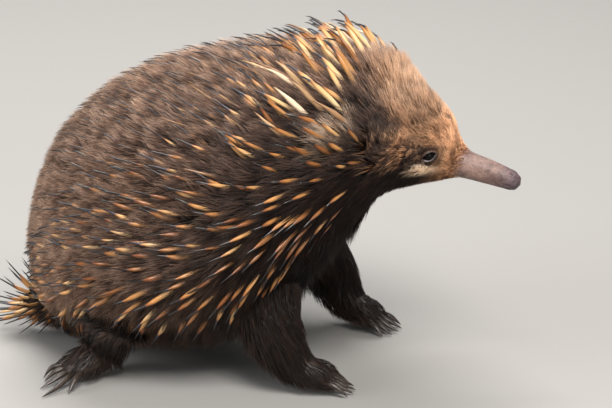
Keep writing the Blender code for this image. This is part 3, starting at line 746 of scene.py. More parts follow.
def nearEye(points):
    # 0 at the middle of an eye, 1 at the edge of the bare skin round it
    sizes = []
    for centre in eyeCentres:
        away = points - centre - np.array([eyeClear["forward"], 0, 0])
        length = np.where(away[:, 0] > 0, eyeClear["ahead"], eyeClear["behind"])
        height = np.where(away[:, 2] > 0, eyeClear["up"], eyeClear["down"])
        reach = np.stack([length, np.full(len(away), eyeClear["out"]), height], 1)
        sizes.append(np.linalg.norm(away / reach, axis=1))
    return np.minimum(*sizes)


def skinMaterial():
    # Bare leathery skin of the beak and lids over dark furred skin: fine wrinkles and a soft waxy gloss.
    made, tree, shader = newMaterial("bareSkin")
    where = addNode(tree, "ShaderNodeTexCoord")
    patches = addNode(tree, "ShaderNodeTexNoise", None,
                      {"Vector": (where, "Object"), "Scale": 1 / (6 * mm), "Detail": 5.0, "Roughness": 0.6})
    tones = {
        "light": ("#3A2C24", "#5E4A3C"), "sandy": ("#664830", "#8A6646"), "orange": ("#8A5836", "#B4794C"),
        "cream": ("#B8987A", "#DFC2A0"), "smoky": ("#2A1F1A", "#45342B"), "lidDark": ("#2B201C", "#574740"),
        "bare": ("#5E4842", "#8E7369"), "tipDark": ("#2B222B", "#4C3E48"),
    }
    shown = layColours(tree, (patches, "Fac"), {0.3: "#1B120D", 0.7: "#33241A"},
                       {name: {0.35: low, 0.68: high} for name, (low, high) in tones.items()})
    tree.links.new(shown[0].outputs[shown[1]], shader.inputs["Base Color"])
    # wrinkles about a millimetre apart across the beak, and a finer grain between them
    stretched = addNode(tree, "ShaderNodeMapping", None,
                        {"Vector": (where, "Object"), "Scale": (1.6, 0.8, 0.8)})
    cells = addNode(tree, "ShaderNodeTexVoronoi", {"feature": "SMOOTH_F1"},
                    {"Vector": (stretched, "Vector"), "Scale": 1 / (1.1 * mm), "Smoothness": 0.7})
    grain = addNode(tree, "ShaderNodeTexNoise", None,
                    {"Vector": (where, "Object"), "Scale": 1 / (0.5 * mm), "Detail": 3.0})
    height = addNode(tree, "ShaderNodeMath", {"operation": "MULTIPLY_ADD"},
                     {0: (grain, "Fac"), 1: 0.35, 2: (cells, "Distance")})
    bump = addNode(tree, "ShaderNodeBump", None,
                   {"Height": (height, 0), "Strength": 0.8, "Distance": 0.4 * mm})
    tree.links.new(bump.outputs["Normal"], shader.inputs["Normal"])
    shader.inputs["Roughness"].default_value = 0.5
    shader.inputs["Subsurface Weight"].default_value = 0.05
    shader.inputs["Subsurface Scale"].default_value = 2 * mm
    return made


def paintSkin():
    # Markings, with painted shade and painted light among them, follow the body, limbs stay dark, and the beak
    # and the rims of the eyes are bare.
    known = KDTree(len(skinPlaces))
    for k, row in enumerate(skinPlaces):
        known.insert(row[:3], k)
    known.balance()
    points = getPoints(skin)
    found = [known.find(point) for point in points]
    nearest = np.array([index for _, index, _ in found])
    onBody = np.array([distance for _, _, distance in found]) < 0.0008
    rows = np.array(skinPlaces)[nearest]
    for name, values in coatMarks(rows[:, 3], rows[:, 4]).items():
        setAttribute(skin, name, values * onBody)
    along = rows[:, 3]
    bare = smoothStep(along, placeOf["beakBase"] - 0.010, placeOf["beakBase"] + 0.001)
    setAttribute(skin, "bare", bare * onBody)
    setAttribute(skin, "tipDark", 0.8 * smoothStep(along, placeOf["beakMiddle"], placeOf["lips"]) * onBody)
    setAttribute(skin, "lidDark", 1 - smoothStep(nearEye(points), 0.75, 1.25))
    skin.data.materials.clear()
    skin.data.materials.append(skinMaterial())


paintSkin()
print("skin painted")


def furPiece(name, rangeA, rangeB, tufts, seed, sizeShare=1.0, weight=evenly):
    draw = np.random.default_rng(seed)
    rootA, rootB = scatter(bodyPoints, rangeA, rangeB, weight, tufts, draw, bodySteps)
    roots = bodyPoints(rootA, rootB, -skinDepth(rootA, rootB))
    clear = nearEye(roots) > 1
    rootA, rootB, roots = rootA[clear], rootB[clear], roots[clear]
    tufts, perTuft = len(rootA), fur["strandsInTuft"]
    count = tufts * perTuft

    def each(values):
        # a tuft's value for each of its strands
        return np.repeat(values, perTuft)

    place, angle = each(rootA), each(rootB)
    sizeA, sizeB = stepSizes(bodyPoints, place, angle, 0, bodySteps)[:2]
    border = faceBorder(roundDegrees(angle))
    onHead = smoothStep(place, border - 0.002, border + 0.012)
    calm = np.maximum(0.7 * onHead, smoothStep(place, placeOf["nape"], placeOf["eyes"]))
    # the head's hair is short from its edge on, though the nape's behind it is long
    shorn = onHead * (1 - smoothStep(place, placeOf["nape"], placeOf["crown"]))
    lengths = alongBody(fur["length"], place) * sizeShare
    lengths = lengths * (1 - 0.42 * shorn * (1 - smoothStep(roundDegrees(angle), 50, 72)))
    reach = np.minimum(fur["spread"], lengths * 0.10 + 0.0002)
    place = place + draw.normal(0, 1, count) * reach / np.maximum(sizeA, 0.3)
    place = np.clip(place, 0.004, placeOf["beakBase"] + 0.002)
    angle = angle + draw.normal(0, 1, count) * reach / np.maximum(sizeB, 0.004)
    turned = roundDegrees(angle)
    tuftDraw = each(draw.random(tufts))
    # neighbouring tufts gather in wisps, each with a length, turn and tone of its own
    middles = np.arange(0, tufts, fur["tuftsInClump"])
    nearby = KDTree(len(middles))
    for k in middles:
        nearby.insert(roots[k], int(k))
    nearby.balance()
    clump = each([nearby.find(root)[1] for root in roots])
    clumpLong, clumpTone = draw.random(tufts)[clump], draw.random(tufts)[clump]
    clumpTurn = draw.normal(0, 1, tufts)[clump]
    hang = smoothStep(turned, lie["hangFrom"], lie["hangTo"])
    length = lengths * (0.78 + 0.22 * tuftDraw + 0.18 * draw.random(count)) * (1 + fur["hangStretch"] * hang)
    length = length * (1 - 0.55 * smoothStep(turned, 138, 158))
    length = shortNearEyes(bodyPoints(place, angle, -skinDepth(place, angle)), length)
    # a hair is seen behind its root, so its colour is that of the place where it lies
    seen = np.clip(place - 0.6 * lengths, 0.004, bodyLength)
    ruffled = neckShare(seen, angle)
    length = length * (1 - 0.22 * ruffled)
    # short and long tufts by turns, in loose waves and ripples, as damp fur sorts itself
    wave, ripple = each(sway(roots, fur["waves"][0])), each(sway(roots + 0.3, fur["waves"][1]))
    causes = (wave, ripple, clumpLong, tuftDraw, draw.random(count))
    shortness = np.clip(0.08 + sum(share * cause for share, cause in zip(fur["shortness"], causes)), 0, 1)
    lift = alongBody(fur["lift"], place) - alongBody(fur["layers"], place) * shortness + 0.0015 * ruffled
    byWave, byRipple, byClump, byTuft, byHair = fur["turns"]
    turns = byWave * wave + byRipple * ripple + byClump * clumpTurn + each(draw.normal(0, byTuft, tufts))
    veer = np.radians(turns * (1 - 0.6 * calm + 3.0 * ruffled) + draw.normal(0, byHair, count))
    rise = fur["rise"] + (fur["faceRise"] - fur["rise"]) * calm + draw.uniform(-0.12, 0.12, count)
    paths, normal = coatPaths(place, angle, length, lift, veer, fur["shape"]["shares"], rise)
    gatherTips(paths, clump, perTuft, 1 - calm, 1 - 0.5 * onHead)
    paths = keepOverFloor(paths)
    widths = alongBody(fur["width"], place) * draw.uniform(0.75, 1.25, count)
    # each hair's tone, from 0, dark, to 1, light
    tones = fur["tones"]
    vary = tones["clump"] * clumpTone + tones["tuft"] * each(draw.random(tufts)) - 0.41
    vary = vary * (1 - 0.70 * onHead)
    vary = vary + tones["hair"] * draw.random(count) * (1 + 0.9 * onHead) + tones["ripple"] * ripple
    # painted shade: shorter hairs, lying deeper in the coat, are darker
    vary = vary + tones["short"] * shortness + 0.50 - 0.02 * onHead
    # painted light: the low flank at the rear is lighter, since the lamps light it less
    rear = 1 - smoothStep(seen, placeOf["hips"], placeOf["back"])
    vary = np.clip(vary + tones["lowRear"] * rear * smoothStep(turned, 20, 70), 0, 1)
    shown = coatMarks(seen, angle)
    # the cream hair is lighter still: its own pale colour, raised further as painted light
    vary = np.clip(vary + tones["cream"] * shown["cream"], 0, 1)
    # half of the ruffled wisps behind the cheek are rusty
    rusty = (draw.random(tufts)[clump] < 0.5) * ruffled * (1 - smoothStep(turned, 76, 92))
    shown["orange"] = np.maximum(shown["orange"], 0.8 * rusty)
    return strandMesh(name, paths, widths, normal, fur["shape"], bodyUv(each(rootA), each(rootB)),
                      np.tile(np.arange(perTuft), tufts), perTuft * fur["shape"]["sides"],
                      {**shown, "vary": vary})


def gatherTips(paths, clump, perTuft, wispShare, tuftShare):
    # The strands of a tuft lean together at their tips, and then the tufts of a wisp.
    ahead = unit(paths[:, -1] - paths[:, -2])
    middle = paths[:, -1].reshape(-1, perTuft, 3).mean(1)
    toward = middle.repeat(perTuft, 0) - paths[:, -1]
    toward -= ahead * (toward * ahead).sum(1, keepdims=True)
    paths[:, -1] += toward * (fur["drawTogether"] * tuftShare)[:, None]
    middle = paths[:, -1].reshape(-1, perTuft, 3).mean(1)
    toward = middle[clump] - middle.repeat(perTuft, 0)
    toward -= 0.6 * ahead * (toward * ahead).sum(1, keepdims=True)
    paths[:, -1] += toward * (fur["clumpPull"] * wispShare)[:, None]


def shortNearEyes(points, length):
    # Hair ahead of an eye lies back towards it, so it ends before the lids.
    for centre in eyeCentres:
        away = points - centre
        away[:, 0] -= eyeClear["forward"]
        distance = np.linalg.norm(away * [0.85, 1, 1], axis=1)
        room = np.maximum(distance - eyeClear["hairStops"], eyeClear["leastHair"])
        ahead = smoothStep(away[:, 0], -0.009, -0.001) * (distance < 0.020)
        length = length + (np.minimum(length, room) - length) * ahead
    return length


def furMaterial():
    # Coarse guard hair: dull and dark at the root, with a faint waxy gloss towards a paler tip. The dark lower
    # part is partly the hair's own colour and partly painted shade deep in the coat.
    made, tree, shader = newMaterial("guardHair")
    along, vary = (addNode(tree, "ShaderNodeAttribute", {"attribute_name": name})
                   for name in ("along", "vary"))
    # each ramp is dark low on the strand and light at its tip; the dark part is partly painted shade between
    # the tufts
    shown = layColours(tree, (along, "Fac"), {0.0: "#070403", 0.6: "#190F0A", 1.0: "#4E342A"}, {
        "light": {0.0: "#0D0805", 0.60: "#332119", 0.82: "#846250", 1.0: "#F0CCB2"},
        "sandy": {0.0: "#36221A", 0.45: "#785640", 0.8: "#A67E60", 1.0: "#D0AC8E"},
        "orange": {0.0: "#7A4A30", 0.45: "#D4966A", 0.8: "#EEB88E", 1.0: "#FCDAB8"},
        "cream": {0.0: "#B4886A", 0.45: "#EECBA8", 1.0: "#FFECD8"},
        "smoky": {0.0: "#140D0A", 0.6: "#3A2A22", 1.0: "#7C6456"},
    })
    shade = addNode(tree, "ShaderNodeValToRGB", None, {"Fac": (vary, "Fac")},
                    {0.0: "#342B25", 0.35: "#867B72", 0.80: "#FFFBF4"})
    final = addNode(tree, "ShaderNodeMix", {"data_type": "RGBA", "blend_type": "MULTIPLY"},
                    {0: 1.0, 6: shown, 7: (shade, "Color")})
    tree.links.new(final.outputs[2], shader.inputs["Base Color"])
    shader.inputs["Roughness"].default_value = 0.55
    shader.inputs["Specular IOR Level"].default_value = 0.35
    return made


furLook = furMaterial()

coat = {
    # each stretch of the body's fur, from and to, and its tufts on each side
    "stretches": {"rump": (0.004, placeOf["hips"] + 0.014),
                  "middle": (placeOf["hips"] + 0.014, placeOf["back"] + 0.022),
                  "shoulder": (placeOf["back"] + 0.022, placeOf["crown"] - 0.004)},
    "tufts": 6000,
    "bellyFrom": math.radians(150), "bellyStretch": (0.02, placeOf["crown"] - 0.002),
    "bellyTufts": 2000, "bellySize": 0.6,
    "faceTufts": 4700,
    "faceSeeds": {"left": 41, "right": 43},
    "faceAt": [placeOf["crown"], placeOf["eyes"], placeOf["brow"], placeOf["beakBase"] - 0.007,
               placeOf["beakBase"]],
    "faceShare": [1.0, 2.3, 3.4, 2.6, 0.4],
}


def denseAtNape(place, angle):
    return 1 + 0.9 * smoothStep(place, placeOf["nape"] - 0.016, placeOf["nape"] - 0.002)


def denseAtBrow(place, angle):
    return np.interp(place, coat["faceAt"], coat["faceShare"])


bellyFrom = coat["bellyFrom"]
coatPieces = []
for label, stretch in coat["stretches"].items():
    for word, turns in (("left", (0, bellyFrom)), ("right", (-bellyFrom, 0))):
        coatPieces.append(furPiece(f"fur_{label}_{word}", stretch, turns, coat["tufts"], 11 + len(coatPieces),
                                   weight=denseAtNape))
coatPieces.append(furPiece("fur_belly", coat["bellyStretch"], (bellyFrom, 2 * math.pi - bellyFrom),
                           coat["bellyTufts"], 31, coat["bellySize"]))
facePieces = [furPiece("fur_face_" + word, (placeOf["crown"] - 0.006, placeOf["beakBase"] + 0.001), turns,
                       coat["faceTufts"], coat["faceSeeds"][word], weight=denseAtBrow)
              for word, turns in (("left", (0, math.pi)), ("right", (-math.pi, 0)))]
coatPieces += facePieces
for piece in coatPieces:
    piece.data.materials.append(furLook)
print("fur made:", sum(len(p.data.polygons) for p in coatPieces), "triangles")


spines = {
    # a stout shaft that narrows quickly to a thin dark needle
    "shape": {"shares": (0.0, 0.20, 0.40, 0.54, 0.66, 0.88, 1.0), "profile": (0.80, 1.0, 0.95, 0.46, 0.34),
              "sides": 6, "flat": 1.0},
    "needleFrom": 0.66,
    "spacing": 0.0096, "tries": 16000,
    "stretch": (0.012, placeOf["nape"] + 0.009), "lowest": math.radians(128),
    "length": {"tailRoot": 0.046, "rump": 0.048, "back": 0.048, "shoulders": 0.052, "nape": 0.056,
               "crown": 0.024},
    "width": {"tailRoot": 0.0028, "back": 0.0027, "shoulders": 0.0040, "nape": 0.0046, "crown": 0.0028},
    # how far the tips stand outside the coat's outer form
    "reach": {"tailRoot": 0.0065, "rump": 0.0026, "back": 0.0022, "ribs": 0.0050, "shoulders": 0.0180,
              "nape": 0.019, "crown": 0.003},
    "rise": 1.7,
    "bow": 0.65,  # 0 is straight, 1 follows the fur
    "hanging": 0.3,
    "slate": 0.32, "slateVaries": 0.015,
    "paleShare": 0.008, "paleShareOnNape": 0.20,
    # how much shorter they are in each place
    "shorter": {"neck": 0.48, "under": 0.25, "lowInFront": 0.38},
    # the needle's share of a spine
    "needle": {"back": 0.43, "lowBehind": 0.30, "nape": 0.19, "lowInFront": 0.24, "moreOnRump": 0.12,
               "varies": 0.03},
    "lengthVaries": (0.88, 1.12), "liftVaries": (0.3, 1.5), "widthVaries": (0.75, 1.15),
}


def makeSpines():
    # Spines stand among the fur at about even spacing, and lean the way that it lies.
    draw = np.random.default_rng(7)
    lowest = spines["lowest"]
    rootA, rootB = scatter(bodyPoints, spines["stretch"], (-lowest, lowest), evenly, spines["tries"], draw,
                           bodySteps, even=False)
    edge = placeOf["nape"] + np.interp(roundDegrees(rootB), headEdge["round"], headEdge["spinesTo"])
    rootB = rootB[rootA < edge]
    rootA = rootA[rootA < edge]
    spots = bodyPoints(rootA, rootB, 0)
    front = smoothStep(rootA, placeOf["back"], placeOf["shoulders"])
    room = spines["spacing"] * (1 - 0.06 * front * smoothStep(roundDegrees(rootB), 42, 78))
    kept = []
    for k in range(len(rootA)):
        if not kept or np.min(np.linalg.norm(spots[kept] - spots[k], axis=1)) > room[k]:
            kept.append(k)
    place, angle, front = rootA[kept], rootB[kept], front[kept]
    count = len(kept)
    turned = roundDegrees(angle)
    # the lower flank and the rear carry the boldest spines, the back only tips, and the neck short ones
    low = smoothStep(turned, 42, 78)
    under = smoothStep(turned, 84, 112)
    neck = smoothStep(place, placeOf["shoulders"] + 0.010, placeOf["nape"] + 0.010)
    neck = neck * smoothStep(turned, 40, 62)
    rear = (1 - smoothStep(place, placeOf["rump"], placeOf["loin"])) * low
    less = spines["shorter"]
    length = alongBody(spines["length"], place) * draw.uniform(*spines["lengthVaries"], count)
    length = length * (1 - less["neck"] * neck) * (1 - less["under"] * under)
    length = length * (1 - less["lowInFront"] * low * front * (1 - 0.6 * neck))
    lift = alongBody(spines["reach"], place) * (0.62 + 0.20 * low) * (1 - 0.78 * front * low)
    lift = lift * draw.uniform(*spines["liftVaries"], count)
    lift = lift * (1 - 0.6 * neck) - 0.0012 * under * front + 0.0016 * low * (1 - front) + 0.004 * rear
    veer = np.radians(draw.normal(1, 1, count) * (6 + 3 * front) + 7 * (1 - low))
    shares = np.array(spines["shape"]["shares"])
    paths, normal = coatPaths(place, angle, length, lift, veer, shares, spines["rise"], spines["hanging"])
    straight = paths[:, :1] + (paths[:, -1:] - paths[:, :1]) * shares[None, :, None]
    bowed = (paths - straight) * (spines["bow"] + 0.25 * low * (1 - front))[:, None, None]
    # the dark needle is long on the back and rear, and short on the nape
    rump = (1 - smoothStep(place, placeOf["hips"], placeOf["back"])) * (1 - smoothStep(turned, 80, 100))
    dark = spines["needle"]
    behind = dark["back"] + (dark["lowBehind"] - dark["back"]) * low
    ahead = dark["nape"] + (dark["lowInFront"] - dark["nape"]) * low
    needle = behind * (1 - front) + ahead * front
    needle = (needle + draw.normal(0, dark["varies"], count) + dark["moreOnRump"] * rump)[:, None]
    start = spines["needleFrom"]
    moved = np.where(shares <= start, shares * (1 - needle) / start, 1 - (1 - shares) * needle / (1 - start))
    paths = keepOverFloor(paths[:, :1] + (paths[:, -1:] - paths[:, :1]) * moved[..., None] + bowed)
    widths = alongBody(spines["width"], place) * (0.90 + 0.36 * low - 0.46 * low * front) * (1 - 0.25 * neck)
    widths = widths * draw.uniform(*spines["widthVaries"], count)
    slate = spines["slate"] + draw.normal(0, spines["slateVaries"], count)
    # painted shade: spines are dimmer low on the flank, most at the shoulder
    vary = draw.random(count) ** (1 + 0.8 * low) * (1 - 0.45 * low * front)
    pale = draw.random(count) < spines["paleShare"] + spines["paleShareOnNape"] * front * (1 - low)
    print("spines made:", count)
    return strandMesh("spines_body", paths, widths, normal, spines["shape"], bodyUv(place, angle),
                      np.zeros(count), spines["shape"]["sides"],
                      {"vary": vary, "slate": slate, "pale": pale.astype(float)})


def spineMaterial():
    # Keratin: smooth, hard and slightly glossy, cream in the shaft and slate black at the tip.
    made, tree, shader = newMaterial("spineHorn")
    reads = {name: addNode(tree, "ShaderNodeAttribute", {"attribute_name": name})
             for name in ("along", "slate", "vary", "pale")}
    # 0.8 is where the slate tip begins
    moved = addNode(tree, "ShaderNodeMath", {"operation": "ADD"},
                    {0: (reads["along"], "Fac"), 1: (reads["slate"], "Fac")})
    place = addNode(tree, "ShaderNodeMath", {"operation": "SUBTRACT"}, {0: (moved, 0), 1: 0.2})
    shaft = addNode(tree, "ShaderNodeValToRGB", None, {"Fac": (place, 0)},
                    {0.0: "#F2E4C8", 0.50: "#EED6A8", 0.70: "#E4B880", 0.77: "#A87850", 0.80: "#363948",
                     1.0: "#181A22"})
    white = addNode(tree, "ShaderNodeValToRGB", None, {"Fac": (place, 0)},
                    {0.0: "#F8F2E4", 0.80: "#F2E8D2", 1.0: "#B09878"})
    tone = addNode(tree, "ShaderNodeMix", {"data_type": "RGBA"},
                   {0: (reads["pale"], "Fac"), 6: (shaft, "Color"), 7: (white, "Color")})
    shade = addNode(tree, "ShaderNodeValToRGB", None, {"Fac": (reads["vary"], "Fac")},
                    {0.0: "#8A6448", 0.45: "#D2B494", 0.85: "#FAF6F0"})
    final = addNode(tree, "ShaderNodeMix", {"data_type": "RGBA", "blend_type": "MULTIPLY"},
                    {0: 1.0, 6: (tone, 2), 7: (shade, "Color")})
    tree.links.new(final.outputs[2], shader.inputs["Base Color"])
    shader.inputs["Roughness"].default_value = 0.30
    shader.inputs["Specular IOR Level"].default_value = 0.55
    return made


spineLook = spineMaterial()
spinePiece = makeSpines()
spinePiece.data.materials.append(spineLook)

rosette = {
    # rings of spines round the stub: share of the way along it, tilt in degrees, and number
    "rings": ((0.30, 66, 13), (0.50, 54, 15), (0.68, 40, 13), (0.84, 26, 10), (0.96, 10, 6)),
    "open": 260,  # degrees round the stub, none on its underside
    "behind": (-0.95, 0, -0.30),
    "length": 0.036, "width": 0.0027, "sag": 0.0025,
    "rootDepth": 0.003, "overFloor": 0.004,
    "slate": 0.34, "slateVaries": 0.03,
    "mapStep": 0.02,
}


def makeTailSpines():
    # A rosette of bold spines that fans out round the stub of the tail.
    draw = np.random.default_rng(17)
    at = np.linspace(0, 1, len(tailFrames))
    shares = np.array(spines["shape"]["shares"])[:, None]
    down = np.array([0, 0, rosette["sag"]]) * np.sin(math.pi * shares)
    paths, widths, aways = [], [], []
    for share, tilt, number in rosette["rings"]:
        seat = np.array([np.interp(share, at, tailFrames[:, j]) for j in range(3)])
        for k in range(number):
            turn = math.radians(rosette["open"] * ((k + 0.5 * draw.random()) / number - 0.5))
            lean = math.radians(tilt + draw.normal(0, 6))
            out = np.array([0, math.sin(turn), math.cos(turn)])
            aim = unit(np.array(rosette["behind"]) * math.cos(lean) + out * math.sin(lean))
            root = seat + out * rosette["rootDepth"]
            tip = root + aim * rosette["length"] * draw.uniform(0.85, 1.08)
            if tip[2] < rosette["overFloor"]:
                continue
            paths.append(root + (tip - root) * shares - down)
            widths.append(rosette["width"] * draw.uniform(0.8, 1.1))
            aways.append(out)
    count = len(paths)
    step = rosette["mapStep"]
    uv = np.stack([0.03 + step * (np.arange(count) % 12), 0.02 + step * (np.arange(count) // 12)], 1)
    look = {"vary": draw.random(count), "slate": draw.normal(rosette["slate"], rosette["slateVaries"], count),
            "pale": np.zeros(count)}
    piece = strandMesh("spines_tail", np.array(paths), np.array(widths), np.array(aways), spines["shape"],
                       uv, np.zeros(count), spines["shape"]["sides"], look)
    piece.data.materials.append(spineLook)
    return piece


tailSpines = makeTailSpines()


# Eyes, lids, ears and claws
def eyeMaterial():
    # A wet dark eye: its iris is so dark a brown that the pupil doesn't show, under a clear film.
    made, tree, shader = newMaterial("wetEye")
    where = addNode(tree, "ShaderNodeTexCoord")
    grain = addNode(tree, "ShaderNodeTexNoise", None,
                    {"Vector": (where, "Object"), "Scale": 1 / (0.8 * mm), "Detail": 3.0})
    iris = addNode(tree, "ShaderNodeValToRGB", None, {"Fac": (grain, "Fac")},
                   {0.3: "#030202", 0.7: "#0A0605"})
    tree.links.new(iris.outputs["Color"], shader.inputs["Base Color"])
    shader.inputs["Roughness"].default_value = 0.10
    shader.inputs["Specular IOR Level"].default_value = 0.08
    shader.inputs["Coat Weight"].default_value = 0.10
    shader.inputs["Coat Roughness"].default_value = 0.03
    return made


def lidMaterial():
    # Bare folded lid skin: dark brown, finely wrinkled and a little greasy.
    made, tree, shader = newMaterial("lidSkin")
    where = addNode(tree, "ShaderNodeTexCoord")
    folds = addNode(tree, "ShaderNodeTexNoise", None,
                    {"Vector": (where, "Object"), "Scale": 1 / (1.1 * mm), "Detail": 4.0})
    tone = addNode(tree, "ShaderNodeValToRGB", None, {"Fac": (folds, "Fac")},
                   {0.3: "#33211B", 0.55: "#584036", 0.8: "#7A6056"})
    # the rim against the eye is almost black and wet, and the lower lid's pale edge is a painted highlight of
    # that wet rim
    rim, wet = (addNode(tree, "ShaderNodeAttribute", {"attribute_name": name})
                for name in ("rim", "wet"))
    dark = addNode(tree, "ShaderNodeMix", {"data_type": "RGBA"},
                   {0: (rim, "Fac"), 6: (tone, "Color"), 7: colour("#0E0A09")})
    edge = addNode(tree, "ShaderNodeMix", {"data_type": "RGBA"},
                   {0: (wet, "Fac"), 6: (dark, 2), 7: colour("#6E6466")})
    tree.links.new(edge.outputs[2], shader.inputs["Base Color"])
    dull = addNode(tree, "ShaderNodeMath", {"operation": "MULTIPLY_ADD"},
                   {0: (rim, "Fac"), 1: -0.38, 2: 0.60})
    tree.links.new(dull.outputs[0], shader.inputs["Roughness"])
    bump = addNode(tree, "ShaderNodeBump", None,
                   {"Height": (folds, "Fac"), "Strength": 0.7, "Distance": 0.4 * mm})
    tree.links.new(bump.outputs["Normal"], shader.inputs["Normal"])
    shader.inputs["Specular IOR Level"].default_value = 0.35
    return made


eyes = {
    "radius": 4.8 * mm,
    "open": (3.85 * mm, 2.55 * mm),  # half of the opening between the lids
    "openSlant": 0.26, "pinch": 0.18,  # it rises towards the beak, and is a little pointed at its corners
    "edge": (6.4 * mm, 4.7 * mm),  # where the lids meet the face
    "edgeSlant": 0.15, "sunk": 0.4 * mm,
    "thick": 0.5 * mm, "swell": 0.5 * mm, "gap": 0.15 * mm,
    "folds": ((0.35 * mm, 0.30, 0.16), (0.25 * mm, 0.66, 0.14)),  # height, share of the way out, width
    "looks": (0.45, 0.9, 0.04),
    "ringThick": 0.3,
    "wellOutside": 0.03,  # from there the lids' outer edge is cast on to the face
}
eyeLook, lidLook = eyeMaterial(), lidMaterial()
skinTree = BVHTree.FromPolygons([Vector(v) for v in getPoints(skin)],
                                [tuple(p.vertices) for p in skin.data.polygons])


def makeEye(side, word):
    centre = eyeCentres[0 if word == "left" else 1]
    ball = addBall("eyeball_" + word, 48, 32)
    setPoints(ball, getPoints(ball) * eyes["radius"] + centre)
    ball.data.materials.append(eyeLook)
    # lids: a closed ring from a thick rim on the ball out to the face
    lid = addRing("lids_" + word, 72, 24, eyes["ringThick"])
    points = getPoints(lid)
    turn = np.arctan2(points[:, 1], points[:, 0])
    outward = (np.hypot(points[:, 0], points[:, 1]) - 1) / eyes["ringThick"]
    over = points[:, 2] / eyes["ringThick"]
    lookOut = unit(np.array(eyes["looks"]) * [1, side, 1])
    ahead = unit(np.array([1.0, 0, 0]) - lookOut * lookOut[0])
    upward = np.cross(ahead, lookOut) * side
    placed = []
    for angle, out, high in zip(turn, outward, over):
        around = np.array([math.cos(angle), math.sin(angle)])
        inner = around * eyes["open"] * [1, 1 - eyes["pinch"] * abs(around[0]) ** 3]
        inner[1] += eyes["openSlant"] * inner[0]
        edge = around * eyes["edge"]
        edge[1] += eyes["edgeSlant"] * edge[0]
        depth = math.sqrt(max((eyes["radius"] + eyes["gap"]) ** 2 - inner @ inner, 0))
        rim = centre + ahead * inner[0] + upward * inner[1] + lookOut * depth
        start = centre + ahead * edge[0] + upward * edge[1] + lookOut * eyes["wellOutside"]
        foot = np.array(skinTree.ray_cast(Vector(start), Vector(-lookOut))[0]) - lookOut * eyes["sunk"]
        share = (out + 1) / 2
        fold = sum(size * math.exp(-((share - where) / width) ** 2) for size, where, width in eyes["folds"])
        swell = eyes["swell"] * max(math.sin(math.pi * share), 0) ** 0.8
        raised = swell + high * eyes["thick"] / 2 + max(high, 0) * fold
        placed.append(rim + (foot - rim) * share + lookOut * raised)
    setPoints(lid, np.array(placed))
    setAttribute(lid, "rim", 1 - smoothStep(outward, -0.75, 0.1))
    # painted highlight: a pale band on the lower lid's inner edge
    lower = smoothStep(-np.sin(turn + 0.15), 0.45, 0.9)
    setAttribute(lid, "wet", (1 - smoothStep(outward, -0.5, 0.0)) * lower)
    faceOut(lid)
    lid.data.materials.append(lidLook)
    return ball, lid


eyePieces = [makeEye(1, "left"), makeEye(-1, "right")]


def hornMaterial():
    # Claw horn: dark, and streaked along its length.
    made, tree, shader = newMaterial("clawHorn")
    where = addNode(tree, "ShaderNodeTexCoord")
    streaks = addNode(tree, "ShaderNodeTexNoise", None,
                      {"Vector": (where, "Object"), "Scale": 1 / (1.5 * mm), "Detail": 4.0,
                       "Distortion": 0.6})
    tone = addNode(tree, "ShaderNodeValToRGB", None, {"Fac": (streaks, "Fac")},
                   {0.3: "#1C1714", 0.6: "#3B302A", 0.85: "#6A5A4C"})
    tree.links.new(tone.outputs["Color"], shader.inputs["Base Color"])
    bump = addNode(tree, "ShaderNodeBump", None,
                   {"Height": (streaks, "Fac"), "Strength": 0.25, "Distance": 0.2 * mm})
    tree.links.new(bump.outputs["Normal"], shader.inputs["Normal"])
    shader.inputs["Roughness"].default_value = 0.35
    return made


hornLook = hornMaterial()

claws = {
    "apart": 0.0052, "rootBack": 0.004,
    "bendAt": 0.55, "bendRise": 0.001,  # share of its reach, and the height over its root
    "swellAt": 0.55, "swellRise": 0.0006,  # the same on its way from the root to the bend
    "tipHeight": 0.0012,
    "sizes": ((0.0024, 0.0021), (0.0024, 0.0020), (0.0020, 0.0016), (0.0006, 0.0005)),
}


def makeClaws(name, leg, side):
    toes, wrist = (np.array(leg[key]) * [1, side, 1] + shift for key in ("toes", "wrist"))
    ahead = unit(toes - wrist)
    across = np.cross([0, 0, 1], ahead) * side
    parts = []
    middle = (len(leg["claws"]) - 1) / 2
    for k, reach in enumerate(leg["claws"]):
        fan = leg["spread"] * (k - middle)
        aim = unit(ahead * math.cos(fan) + across * math.sin(fan))
        root = toes + across * claws["apart"] * (k - middle) - ahead * claws["rootBack"]
        bend = root + aim * (claws["rootBack"] + reach * claws["bendAt"]) + [0, 0, claws["bendRise"]]
        end = root + aim * (claws["rootBack"] + reach)
        end[2] = claws["tipHeight"]
        swell = root + (bend - root) * claws["swellAt"] + [0, 0, claws["swellRise"]]
        rows = [(*point, *size) for point, size in zip((root, swell, bend, end), claws["sizes"])]
        parts.append(addTube(f"claw{k}", tubeFrames(rows, 30), 16, 20, (0, 0, 1)))
    joinTo(parts[0], parts[1:])
    parts[0].name = name
    parts[0].data.materials.append(hornLook)
    return parts[0]


clawPieces = [makeClaws("claws_" + name, leg, side) for name, (leg, side) in legs.items()]
print("eyes and claws made")


# Fur of the legs and tail, on the same tubes as their skin: how many tufts, their length at the limb's
# start and end, the stretch of it that carries them, and how light they are
shortFur = {
    "leg": {"tufts": 700, "lengths": (0.018, 0.005), "width": 0.0006, "stretch": (0.05, 0.97),
            "light": 0.25},
    "tail": {"tufts": 350, "lengths": (0.020, 0.016), "width": 0.0007, "stretch": (0.2, 0.98),
             "light": 0.2},
    "stand": 0.45, "bend": 0.22, "droop": 0.25,  # how it rises from the limb and hangs, by its length
    "mapSize": (0.2, 0.08),
}


